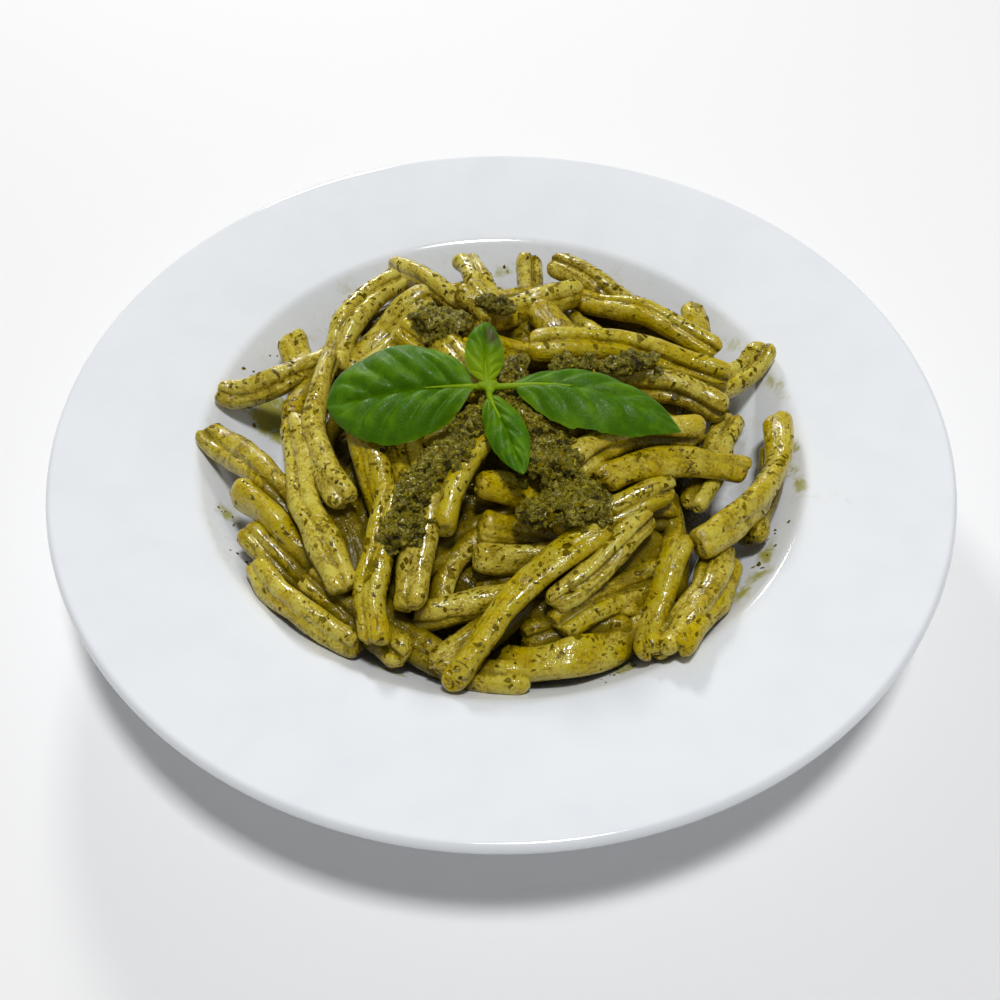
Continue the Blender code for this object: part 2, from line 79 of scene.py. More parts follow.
Array = np.ndarray
Draw = np.random.Generator
Piece = bpy.types.Object
Socket = bpy.types.NodeSocket
Colour = Place = tuple[float, float, float]
Line = list[tuple[float, float]]
Inputs = dict[str | int, object]


class Pattern(IntEnum):
    """The patterns of noise, each named after what it shapes."""

    SWELL = 1
    FLATNESS = 2
    GROOVE_DEPTH = 3
    GROOVE_PLACE = 4
    SWAY_ACROSS = 5
    SWAY_AWAY = 6
    SWAY_UP = 7
    LUMPS = 11
    GRAIN = 12
    RIDGES = 13
    CORE_LUMPS = 21
    CORE_GRAIN = 22
    FIBRES_ACROSS = 31
    FIBRES_AWAY = 32
    FIBRES_UP = 33
    CRUMBS = 34
    FINE_CRUMBS = 35
    HEAPING = 36
    VEINS = 41
    CREASES = 42
    NOTCHES = 43
    CLUSTERS = 51


def screen(red: float, green: float, blue: float) -> Colour:
    """The linear colour of a screen colour given from 0 to 255.

    Args:
        red: The red share, 0 to 255.
        green: The green share, 0 to 255.
        blue: The blue share, 0 to 255.

    Returns:
        The same colour in linear light, 0 to 1.
    """
    shares = [value / 255 for value in (red, green, blue)]
    return tuple(s / 12.92 if s <= 0.04045 else ((s + 0.055) / 1.055) ** 2.4 for s in shares)


def lattice_noise(points: Array, cell: float, seed: int) -> Array:
    """Smooth noise between -1 and 1, the same on every run.

    Args:
        points: Places as rows of three numbers.
        cell: The size of one bump, in the unit of the places.
        seed: Which of many patterns to give.

    Returns:
        One value for each place.
    """
    scaled = np.asarray(points, float) / cell
    base = np.floor(scaled).astype(np.int64)
    part = scaled - base
    ease = part * part * (3 - 2 * part)
    total = np.zeros(len(scaled))
    for corner in np.ndindex(2, 2, 2):
        ids = base + np.array(corner)
        mixed = (ids[:, 0] * 73856093) ^ (ids[:, 1] * 19349663) ^ (ids[:, 2] * 83492791) ^ (seed * 9176741)
        mixed = (mixed ^ (mixed >> 13)) * 1274126177
        value = ((mixed ^ (mixed >> 16)) & 0xFFFF) / 32767.5 - 1
        total += value * np.prod(np.where(np.array(corner) == 1, ease, 1 - ease), axis=1)
    return total


def noise_at(x: object, y: object, z: object, cell: float, seed: int) -> Array:
    """The same noise at places given by their coordinates, of which each is an array or one number."""
    return lattice_noise(np.column_stack(np.broadcast_arrays(x, y, z)), cell, seed)


def unit(vectors: Array) -> Array:
    """Vectors made one long."""
    return vectors / (np.linalg.norm(vectors, axis=-1)[..., None] + 1e-9)


def ring_faces(rows: int, columns: int) -> list[tuple[int, ...]]:
    """Four-sided faces between rows of points that each close to a ring."""
    steps = [(i * columns, j, (j + 1) % columns) for i in range(rows - 1) for j in range(columns)]
    return [(row + j, row + k, row + columns + k, row + columns + j) for row, j, k in steps]


# Working with Blender as by hand.


def deselect_all() -> None:
    """Leaves object mode with nothing selected."""
    if bpy.context.object is not None and bpy.context.object.mode != "OBJECT":
        bpy.ops.object.mode_set(mode="OBJECT")
    bpy.ops.object.select_all(action="DESELECT")


def select_only(obj: Piece, *others: Piece) -> None:
    """Selects these objects and makes the first of them active.

    Args:
        obj: The object to make active.
        others: More objects to select with it.
    """
    deselect_all()
    for one in (obj, *others):
        one.select_set(True)
    bpy.context.view_layer.objects.active = obj


def apply_modifier(obj: Piece, kind: str, **settings: object) -> None:
    """Adds one modifier to an object and applies it.

    Args:
        obj: The object to change.
        kind: The modifier's type.
        settings: The modifier's own settings.
    """
    made = obj.modifiers.new(kind.title(), kind)
    for name, value in settings.items():
        setattr(made, name, value)
    select_only(obj)
    bpy.ops.object.modifier_apply(modifier=made.name)


def smooth(obj: Piece, angle: float = 180.0) -> None:
    """Shades an object smooth where its faces meet at less than an angle in degrees."""
    select_only(obj)
    bpy.ops.object.shade_smooth_by_angle(angle=math.radians(angle))


def joined(name: str, pieces: Sequence[Piece]) -> Piece:
    """Joins objects into one.

    Args:
        name: The name of the whole.
        pieces: The objects, the first of which is kept.

    Returns:
        The whole.
    """
    select_only(pieces[0], *pieces[1:])
    if len(pieces) > 1:
        bpy.ops.object.join()
    pieces[0].name = name
    pieces[0].data.name = name
    return pieces[0]


def ball(place: Sequence[float], sizes: Sequence[float], heading: float = 0.0, level: int = 3) -> Piece:
    """Makes one ball, stretched and turned, with its place in its mesh.

    Args:
        place: Its middle, in mm.
        sizes: Its half sizes, in mm.
        heading: Its turn in plan, in degrees.
        level: How finely it is divided.

    Returns:
        The ball.
    """
    deselect_all()
    bpy.ops.mesh.primitive_ico_sphere_add(
        subdivisions=level,
        radius=1.0,
        location=[value * MM for value in place],
        rotation=(0, 0, math.radians(heading)),
        scale=[value * MM for value in sizes],
    )
    bpy.ops.object.transform_apply(location=True, rotation=True, scale=True)
    return bpy.context.object


def merge_close(obj: Piece, gap: float) -> None:
    """Merges the vertices of an object's mesh that lie close together.

    Args:
        obj: The object.
        gap: How close, in metres.
    """
    select_only(obj)
    bpy.ops.object.mode_set(mode="EDIT")
    bpy.ops.mesh.select_all(action="SELECT")
    bpy.ops.mesh.remove_doubles(threshold=gap)
    bpy.ops.object.mode_set(mode="OBJECT")


def vertices(obj: Piece) -> Array:
    """The vertices of an object's mesh in metres."""
    return np.array([tuple(vert.co) for vert in obj.data.vertices])


def move_vertices(obj: Piece, points: Array) -> None:
    """Moves the vertices of an object's mesh to points in mm."""
    obj.data.vertices.foreach_set("co", (points * MM).astype(np.float32).ravel())
    obj.data.update()


def write_looks(obj: Piece, looks: Array) -> None:
    """Writes four values for each vertex into an object's mesh."""
    values = obj.data.attributes.new(LOOKS, "FLOAT_COLOR", "POINT")
    values.data.foreach_set("color", looks.astype(np.float32).ravel())


def triangles(obj: Piece) -> int:
    """The number of triangles in an object's mesh."""
    return sum(len(face.vertices) - 2 for face in obj.data.polygons)


def dress(obj: Piece, made: bpy.types.Material, slot: str, *nodes: str) -> Piece:
    """Gives a finished piece its material and its body, and hides the CAD nodes that it stands for.

    Args:
        obj: The finished piece.
        made: Its material.
        slot: The record's material slot; not used.
        nodes: The CAD nodes that it replaces.

    Returns:
        The piece.
    """
    obj.data.materials.clear()
    obj.data.materials.append(made)
    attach(obj, BODY)
    if nodes:
        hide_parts(*nodes)
    LOG.info("%s: %d triangles", obj.name, triangles(obj))
    return obj


class MeshDraft:
    """Vertices, faces and point values that are gathered for one mesh."""

    def __init__(self) -> None:
        """Starts with nothing."""
        self.points: list[Array] = []
        self.faces: list[tuple[int, ...]] = []
        self.texture: Line = []
        self.looks: list[Array] = []
        self.count = 0

    def add(
        self,
        points: Array,
        faces: Iterable[tuple[int, ...]],
        texture: Iterable[tuple[float, float]],
        looks: Array,
    ) -> None:
        """Adds one shape.

        Args:
            points: Its vertices in mm.
            faces: Its faces, counted from its own first vertex.
            texture: A place on the surface for each corner of each face, in order.
            looks: Four values from 0 to 1 for each vertex.
        """
        self.faces += [tuple(index + self.count for index in face) for face in faces]
        self.points.append(points)
        self.texture += list(texture)
        self.looks.append(looks)
        self.count += len(points)

    def make(self, name: str) -> Piece:
        """The object of all that was added.

        Args:
            name: The object's name.

        Returns:
            The object, in metres.
        """
        mesh = bpy.data.meshes.new(name)
        mesh.from_pydata((np.concatenate(self.points) * MM).tolist(), [], self.faces)
        places = np.array(self.texture, np.float32).ravel()
        mesh.uv_layers.new(name=SURFACE_MAP).data.foreach_set("uv", places)
        obj = bpy.data.objects.new(name, mesh)
        bpy.context.scene.collection.objects.link(obj)
        write_looks(obj, np.concatenate(self.looks))
        return obj


# Finishes.


class NodeBench:
    """Adds shader nodes to one tree and links them. Scales are in bumps to a metre."""

    def __init__(self, tree: bpy.types.NodeTree) -> None:
        """Works on this tree."""
        self.tree = tree

    def add(self, kind: str, inputs: Inputs | None = None, **settings: object) -> bpy.types.Node:
        """Adds one node.

        Args:
            kind: The kind of node.
            inputs: What its inputs take.
            settings: Its settings.

        Returns:
            The node.
        """
        node = self.tree.nodes.new(kind)
        for name, value in settings.items():
            setattr(node, name, value)
        self.fill(node, inputs or {})
        return node

    def fill(self, node: bpy.types.Node, inputs: Inputs) -> None:
        """Links each input of a node to a socket, or sets it to a value.

        Args:
            node: The node.
            inputs: What its inputs take.
        """
        for name, value in inputs.items():
            socket = node.inputs[name]
            if isinstance(value, Socket):
                self.tree.links.new(value, socket)
            else:
                socket.default_value = (*value, 1.0) if socket.type == "RGBA" else value

    def place(self) -> Socket:
        """The place on the object."""
        return self.add("ShaderNodeTexCoord").outputs["Object"]

    def surface(self) -> Socket:
        """The place on the piece's own map."""
        return self.add("ShaderNodeUVMap", uv_map=SURFACE_MAP).outputs["UV"]

    def values(self) -> tuple[Socket, ...]:
        """Reads the values that the piece's mesh holds.

        Returns:
            The four values of each vertex.
        """
        node = self.add("ShaderNodeAttribute", attribute_name=LOOKS)
        split = self.add("ShaderNodeSeparateColor", {"Color": node.outputs["Color"]})
        return (*split.outputs, node.outputs["Alpha"])

    def stretched(self, place: Socket, scale: Place, shift: Place = (0, 0, 0)) -> Socket:
        """A place, moved and stretched along its axes."""
        inputs = {"Vector": place, "Scale": scale, "Location": shift}
        return self.add("ShaderNodeMapping", inputs).outputs["Vector"]

    def noise(
        self, place: Socket, scale: object, detail: float = 2.0, rough: float = 0.5, bend: float = 0.0
    ) -> Socket:
        """Cloudy noise from 0 to 1."""
        inputs = {"Vector": place, "Scale": scale, "Detail": detail, "Roughness": rough, "Distortion": bend}
        return self.add("ShaderNodeTexNoise", inputs).outputs["Fac"]

    def mask(self, value: object, low: float, high: float, start: float = 0.0, end: float = 1.0) -> Socket:
        """A smooth step of a value, from start at low to end at high."""
        inputs = {"Value": value, "From Min": low, "From Max": high, "To Min": start, "To Max": end}
        return self.add("ShaderNodeMapRange", inputs, interpolation_type="SMOOTHSTEP").outputs["Result"]

    def mixed(self, kind: str, first: object, second: object) -> Socket:
        """Two values put together, clamped to 0 to 1."""
        node = self.add("ShaderNodeMath", {0: first, 1: second}, operation=kind, use_clamp=True)
        return node.outputs["Value"]

    def plus(self, first: object, second: object) -> Socket:
        """The sum of two values."""
        return self.mixed("ADD", first, second)

    def times(self, first: object, second: object) -> Socket:
        """The product of two values."""
        return self.mixed("MULTIPLY", first, second)

    def blend(self, share: object, first: object, second: object) -> Socket:
        """The first colour, with a share of the second over it."""
        inputs = {"Factor": share, 6: first, 7: second}
        return self.add("ShaderNodeMix", data_type="RGBA", clamp_factor=True, inputs=inputs).outputs[2]

    def relief(self, height: object, depth: float, normal: object = None, strength: float = 1.0) -> Socket:
        """Raises a relief.

        Args:
            height: The height, from 0 to 1.
            depth: The rise in metres that 1 stands for.
            normal: The normal of a relief under it, if there is one.
            strength: How much of it shows.

        Returns:
            The normal of the relief.
        """
        inputs = {"Height": height, "Distance": depth, "Strength": strength}
        if normal is not None:
            inputs["Normal"] = normal
        return self.add("ShaderNodeBump", inputs).outputs["Normal"]


def speckle_group() -> bpy.types.NodeTree:
    """The shared scatter of herb specks, as a node group.

    Returns:
        A group that takes a place, a number of specks to a unit and how much they cover, and puts out a mask.
    """
    name = "herb_specks"
    if name in bpy.data.node_groups:
        return bpy.data.node_groups[name]
    tree = bpy.data.node_groups.new(name, "ShaderNodeTree")
    for kind, label, way in (
        ("NodeSocketVector", "Place", "INPUT"),
        ("NodeSocketFloat", "Scale", "INPUT"),
        ("NodeSocketFloat", "Amount", "INPUT"),
        ("NodeSocketFloat", "Mask", "OUTPUT"),
    ):
        tree.interface.new_socket(label, in_out=way, socket_type=kind)
    bench = NodeBench(tree)
    given = bench.add("NodeGroupInput").outputs
    ragged = bench.noise(given["Place"], given["Scale"], 3.0, 0.62, 0.7)
    raised = bench.add("ShaderNodeMath", {0: ragged, 1: given["Amount"]}, operation="ADD").outputs["Value"]
    bench.add("NodeGroupOutput", {"Mask": bench.mask(raised, 0.74, 0.78)})
    return tree


def specks(bench: NodeBench, place: Socket, scale: float, amount: object) -> Socket:
    """A mask of herb specks.

    Args:
        bench: The material's bench.
        place: The place on the surface.
        scale: How many specks there are to a unit.
        amount: How much they cover, from 0 for next to nothing to 0.2 for about half.

    Returns:
        The mask.
    """
    inputs = {"Place": place, "Scale": scale, "Amount": amount}
    return bench.add("ShaderNodeGroup", inputs, node_tree=speckle_group()).outputs["Mask"]


@dataclass(frozen=True)
class Finish:
    """One material: its name and what its shader takes."""

    name: str = "plain"

    def look(self, bench: NodeBench) -> Inputs:
        """What the inputs of the shader take: nothing of their own here."""
        return {}

    def make(self) -> bpy.types.Material:
        """The material.

        Returns:
            The material, with its shader fed.
        """
        made = bpy.data.materials.new(self.name)
        made.use_nodes = True
        bench = NodeBench(made.node_tree)
        bench.fill(made.node_tree.nodes["Principled BSDF"], self.look(bench))
        return made


@dataclass(frozen=True)
class GlazeFinish(Finish):
    """White glazed ceramic with smears of green oil near the food, one of which also darkens the plate under
    a piece of pasta as painted shadow.
    """

    name: str = "white_glazed_ceramic"
    white: Colour = (0.86, 0.885, 0.91)
    shade: Colour = (0.83, 0.86, 0.89)
    oil: Colour = screen(176, 172, 62)
    clean_roughness: float = 0.10
    oily_roughness: float = 0.2

    def look(self, bench: NodeBench) -> Inputs:
        """Feeds the shader.

        Args:
            bench: The material's bench.

        Returns:
            What its inputs take.
        """
        place = bench.place()
        smear, *_ = bench.values()
        glaze = bench.blend(bench.mask(bench.noise(place, 60), 0.35, 0.7), self.white, self.shade)
        patchy = bench.plus(bench.noise(place, 210, 3.0, 0.6, 0.6), bench.mask(smear, 0, 1, 0, 0.6))
        film = bench.times(bench.mask(patchy, 0.58, 0.92), bench.mask(smear, 0.02, 0.5, 0, 0.95))
        return {
            "Base Color": bench.blend(film, glaze, self.oil),
            "Roughness": bench.mask(film, 0, 1, self.clean_roughness, self.oily_roughness),
            "Normal": bench.relief(bench.noise(place, 45, 1.0), 0.0004, None, 0.25),
        }


@dataclass(frozen=True)
class PastaFinish(Finish):
    """Cooked pasta, wet with herb oil: paler and deeper yellow, olive in its grooves, with fine specks.

    The olive in the grooves is partly oil and partly painted shade, and the deep colour is painted shade
    inside the heap.
    """

    name: str = "cooked_pasta"
    pale: Colour = screen(208, 196, 82)
    yellow: Colour = screen(190, 171, 6)
    amber: Colour = screen(182, 149, 0)
    olive: Colour = screen(122, 107, 0)
    deep: Colour = screen(78, 64, 0)
    halo: Colour = screen(118, 98, 0)
    speck: Colour = screen(78, 62, 0)
    gloss: float = 0.4
    wet: float = 0.6
    see_through: float = 0.25

    def look(self, bench: NodeBench) -> Inputs:
        """Feeds the shader.

        Args:
            bench: The material's bench.

        Returns:
            What its inputs take.
        """
        place, along = bench.place(), bench.surface()
        groove, tone, sauce_and_shade, ends = bench.values()
        clouds = bench.mask(bench.noise(place, 150, 4.0, 0.6), 0.36, 0.66)
        colour = bench.blend(bench.plus(clouds, bench.mask(tone, 0, 1, -0.45, 0.45)), self.pale, self.yellow)
        patches = bench.noise(bench.stretched(place, (1, 1, 1), (0.3, 0.1, 0.2)), 120, 3.0, 0.6)
        warm = bench.plus(bench.mask(patches, 0.56, 0.72, 0, 0.5), bench.mask(ends, 0, 1, 0, 0.15))
        # The amber also rises with the sauce_and_shade value, so it is partly painted shade.
        warm = bench.plus(warm, bench.mask(sauce_and_shade, 0.1, 0.5, 0, 0.15))
        colour = bench.blend(warm, colour, self.amber)
        film = self.film(bench, place, groove, sauce_and_shade)
        colour = bench.blend(bench.mask(film, 0.45, 0.60, 0, 0.5), colour, self.amber)
        colour = bench.blend(bench.mask(film, 0.53, 0.75, 0, 0.8), colour, self.olive)
        # Painted shade: the deep colour darkens the pasta deep in the heap and on the lower layers.
        colour = bench.blend(bench.mask(sauce_and_shade, 0.45, 1.0, 0, 0.75), colour, self.deep)
        dusted = bench.mask(bench.noise(place, 100), 0.38, 0.60, 0, 0.09)
        spread = bench.stretched(along, (1.5, 0.7, 1.0))
        halo = specks(bench, spread, 4.2, bench.plus(dusted, 0.09))
        colour = bench.blend(bench.times(halo, 0.65), colour, self.halo)
        fine = bench.times(specks(bench, place, 1100, bench.plus(dusted, 0.005)), 0.6)
        broad = bench.times(specks(bench, spread, 4.2, bench.plus(dusted, 0.04)), 0.85)
        dark = bench.mixed("MAXIMUM", fine, broad)
        beads = bench.noise(bench.stretched(place, (1, 1, 1), (0.5, 0.8, 0.1)), 2600, 1.0, 0.5)
        oil = bench.times(bench.mask(beads, 0.54, 0.60, 0, self.wet), bench.mask(sauce_and_shade, 0.2, 0.6, 1, 0.2))
        return {
            "Base Color": bench.blend(dark, colour, self.speck),
            "Normal": self.texture(bench, place, along, dark),
            "Roughness": bench.mask(bench.noise(place, 500), 0.3, 0.7, 0.07, 0.16),
            "Coat Weight": oil,
            "Coat Roughness": 0.1,
            "Coat IOR": 1.8,
            "Specular IOR Level": self.gloss,
            "Subsurface Weight": self.see_through,
            "Subsurface Radius": (0.8, 0.65, 0.12),
            "Subsurface Scale": 0.0018,
        }

    @staticmethod
    def film(bench: NodeBench, place: Socket, groove: Socket, sauce_and_shade: Socket) -> Socket:
        """Where green oil and ground herbs cover the pasta, reaching further into the grooves, the curls of
        the cut ends and the depths of the heap, which is partly painted shade.

        Args:
            bench: The material's bench.
            place: The place on the piece.
            groove: How deep in a groove the surface lies.
            sauce_and_shade: How much pesto clings to the piece, with painted shade added deep in the heap.

        Returns:
            A value that rises above 0.5 where the film is.
        """
        patchy = bench.noise(bench.stretched(place, (1, 1, 1), (0.7, 0.4, 0.9)), 250, 6.0, 0.72, 0.6)
        small = bench.mask(bench.noise(place, 1200), 0.3, 0.7, -0.075, 0.075)
        # Oil gathers in the grooves; their darkening here is partly painted shade.
        reach = bench.plus(bench.mask(groove, 0.15, 0.95, 0, 0.14), bench.mask(sauce_and_shade, 0, 0.65, 0, 0.26))
        return bench.plus(bench.plus(patchy, small), reach)

    @staticmethod
    def texture(bench: NodeBench, place: Socket, along: Socket, dark: Socket) -> Socket:
        """The grain of the surface: grit, fine ridges along the piece, lumps and specks.

        Args:
            bench: The material's bench.
            place: The place on the piece.
            along: The place on the piece's own map.
            dark: The mask of the specks.

        Returns:
            The normal.
        """
        normal = bench.relief(bench.noise(place, 1500, 1.0), 0.00022)
        normal = bench.relief(bench.noise(bench.stretched(along, (12, 2.0, 1)), 1.0), 0.00018, normal, 0.7)
        normal = bench.relief(bench.noise(place, 700, 1.0), 0.0003, normal, 0.8)
        return bench.relief(dark, 0.00012, normal, 0.8)


@dataclass(frozen=True)
class PestoFinish(Finish):
    """Ground herb paste: dark grey olive, fibrous and oily, with painted shade in the pits of its grain and
    painted light on the rises.
    """

    name: str = "pesto_paste"
    dark: Colour = screen(52, 42, 0)
    middle: Colour = screen(140, 128, 8)
    light: Colour = screen(208, 196, 86)
    fibre: float = 1500.0
    gloss: float = 0.3

    def look(self, bench: NodeBench) -> Inputs:
        """Feeds the shader.

        Args:
            bench: The material's bench.

        Returns:
            What its inputs take.
        """
        place = bench.place()
        pit, *_ = bench.values()
        grain = bench.noise(place, self.fibre, 4.0, 0.75, 1.2)
        clots = bench.noise(place, 420, 3.0, 0.6, 0.6)
        broad = bench.noise(bench.stretched(place, (1, 1, 1), (0.2, 0.9, 0.4)), 170, 3.0, 0.6, 0.5)
        colour = bench.blend(bench.mask(grain, 0.36, 0.56), self.dark, self.middle)
        for share, over in (
            (bench.mask(grain, 0.50, 0.66, 0, 0.9), self.light),
            (bench.mask(broad, 0.48, 0.66, 0, 0.35), self.light),
            # Painted light on the rises of the grain.
            (bench.mask(pit, 0.4, 0.1, 0, 0.3), self.light),
            (bench.mask(clots, 0.52, 0.66, 0, 0.5), self.dark),
            # Painted shade in the pits of the grain.
            (bench.mask(pit, 0.5, 0.85, 0, 0.9), self.dark),
            (specks(bench, place, 900, 0.08), self.dark),
        ):
            colour = bench.blend(share, colour, over)
        return {
            "Base Color": colour,
            "Normal": bench.relief(clots, 0.0012, bench.relief(grain, 0.0011, None, 0.9), 0.7),
            "Roughness": bench.mask(clots, 0.35, 0.65, 0.34, 0.12),
            "Coat Weight": bench.mask(bench.noise(place, 800), 0.50, 0.58, 0, 2 * self.gloss),
            "Coat Roughness": 0.1,
            "Specular IOR Level": self.gloss,
        }


@dataclass(frozen=True)
class LeafFinish(Finish):
    """Fresh basil: deep green with paler veins, yellow green towards the stalk, and a pale underside."""

    name: str = "basil_leaf"
    deep: Colour = screen(62, 106, 0)
    bright: Colour = screen(88, 132, 0)
    vein: Colour = screen(98, 138, 4)
    young: Colour = screen(140, 170, 6)
    under: Colour = screen(112, 140, 58)
    bruise: Colour = screen(92, 84, 56)

    def look(self, bench: NodeBench) -> Inputs:
        """Feeds the shader.

        Args:
            bench: The material's bench.

        Returns:
            What its inputs take.
        """
        place = bench.place()
        vein, youth, below, bruised = bench.values()
        cloud = bench.noise(place, 160, 3.0, 0.55)
        colour = bench.blend(bench.mask(cloud, 0.40, 0.70), self.deep, self.bright)
        for share, over in (
            (bench.mask(bench.noise(place, 900), 0.5, 0.8, 0, 0.3), self.bright),
            (bench.mask(vein, 0.3, 1.0, 0, 0.6), self.vein),
            (bench.mask(youth, 0.05, 0.95, 0, 0.9), self.young),
            (bench.times(bruised, bench.mask(bench.noise(place, 500), 0.3, 0.6, 0.55, 1)), self.bruise),
            (bench.mask(below, 0.4, 0.6, 0, 0.85), self.under),
        ):
            colour = bench.blend(share, colour, over)
        net = bench.add("ShaderNodeTexVoronoi", {"Vector": place, "Scale": 900}, feature="DISTANCE_TO_EDGE")
        normal = bench.relief(bench.mask(net.outputs["Distance"], 0, 0.12), 0.00008, None, 0.5)
        return {
            "Base Color": colour,
            "Normal": bench.relief(bench.noise(place, 330), 0.0004, normal, 0.35),
            "Roughness": bench.mask(cloud, 0.3, 0.7, 0.32, 0.46),
            "Specular IOR Level": 0.15,
            "Subsurface Weight": 0.1,
            "Subsurface Radius": (0.4, 1.0, 0.1),
            "Subsurface Scale": 0.001,
        }


@dataclass(frozen=True)
class FlakeFinish(Finish):
    """Chopped herbs, dark green brown and wet."""

    name: str = "herb_flake"
    dark: Colour = screen(66, 52, 0)
    green: Colour = screen(132, 114, 0)

    def look(self, bench: NodeBench) -> Inputs:
        """Feeds the shader.

        Args:
            bench: The material's bench.

        Returns:
            What its inputs take.
        """
        place = bench.place()
        tone, *_ = bench.values()
        cloud = bench.mask(bench.noise(place, 900), 0.3, 0.7, 0, 0.5)
        share = bench.plus(cloud, bench.mask(tone, 0, 1, 0, 0.6))
        return {
            "Base Color": bench.blend(share, self.dark, self.green),
            "Normal": bench.relief(bench.noise(place, 2500), 0.0002, None, 0.7),
            "Roughness": bench.mask(tone, 0, 1, 0.15, 0.4),
            "Specular IOR Level": 0.1,
        }


@dataclass(frozen=True)
class FloorFinish(Finish):
    """A pale matt floor."""

    name: str = "pale_floor"
    colour: Colour = (0.95, 0.95, 0.95)
    shade: Colour = (0.93, 0.93, 0.93)

    def look(self, bench: NodeBench) -> Inputs:
        """Feeds the shader.

        Args:
            bench: The material's bench.

        Returns:
            What its inputs take.
        """
        cloud = bench.mask(bench.noise(bench.place(), 3.0), 0.3, 0.7, 0, 0.2)
        return {"Base Color": bench.blend(cloud, self.colour, self.shade), "Roughness": 0.9}


# The studio.


class SoftLight(NamedTuple):
    """One square soft light: its place and aim in metres, its side, its power in watts and its colour."""

    place: Place
    aim: Place
    side: float
    power: float
    colour: Colour = (1.0, 1.0, 1.0)


@dataclass
class Studio:
    """A pale floor, soft light and the camera."""

    aim: Place = (0.0, -0.033, 0.0365)
    distance: float = 0.2879
    elevation: float = 51.9
    lens: float = 37.73
    sensor: float = 36.0
    shift: float = -0.0014
    ambient: float = 0.22
    floor_side: float = 8.0
    lights: tuple[SoftLight, ...] = (
        SoftLight((0.1, -0.05, 1.5), (0, 0, 0.03), 0.24, 13.0, (0.99, 0.99, 1.0)),
        SoftLight((-0.35, 1.4, 0.72), (0, 0, 0.03), 0.24, 10.0, (1.0, 0.99, 0.97)),
    )

    def build(self) -> None:
        """Makes the whole studio."""
        self.build_floor()
        for light in self.lights:
            self.build_light(light)
        self.build_world()
        self.build_camera()

    def build_floor(self) -> None:
        """Lays the floor."""
        deselect_all()
        bpy.ops.mesh.primitive_plane_add(size=self.floor_side, location=(0, 0, 0))
        floor = bpy.context.object
        floor.name = "floor"
        floor.data.materials.append(FloorFinish().make())

    def build_light(self, light: SoftLight) -> None:
        """Hangs one soft light.

        Args:
            light: The light.
        """
        bpy.ops.object.light_add(type="AREA", location=light.place)
        lamp = bpy.context.object
        lamp.data.shape = "SQUARE"
        lamp.data.size = light.side
        lamp.data.energy = light.power
        lamp.data.color = light.colour
        lamp.rotation_euler = (Vector(light.aim) - Vector(light.place)).to_track_quat("-Z", "Y").to_euler()

    def build_world(self) -> None:
        """Sets the even light from all round."""
        world = bpy.data.worlds.new("soft_room")
        world.use_nodes = True
        ground = world.node_tree.nodes["Background"]
        ground.inputs["Color"].default_value = (0.97, 0.985, 1.0, 1.0)
        ground.inputs["Strength"].default_value = self.ambient
        bpy.context.scene.world = world
        bpy.context.scene.view_settings.view_transform = "Standard"

    def build_camera(self) -> None:
        """Sets the camera where the photo was taken."""
        tilt = math.radians(self.elevation)
        back = Vector((0.0, -math.cos(tilt), math.sin(tilt)))
        place = Vector(self.aim) + back * self.distance
        bpy.ops.object.camera_add(location=place, rotation=(math.pi / 2 - tilt, 0, 0))
        camera = bpy.context.object
        camera.data.lens = self.lens
        camera.data.sensor_width = self.sensor
        camera.data.clip_start = 0.01
        camera.data.shift_x = self.shift
        bpy.context.scene.camera = camera


# The plate.


class Smear(NamedTuple):
    """A patch of oil on the plate: its middle, half sizes, heading and strength, in mm and degrees."""

    place: tuple[float, float]
    long: float
    wide: float
    heading: float = 0.0
    strength: float = 1.0


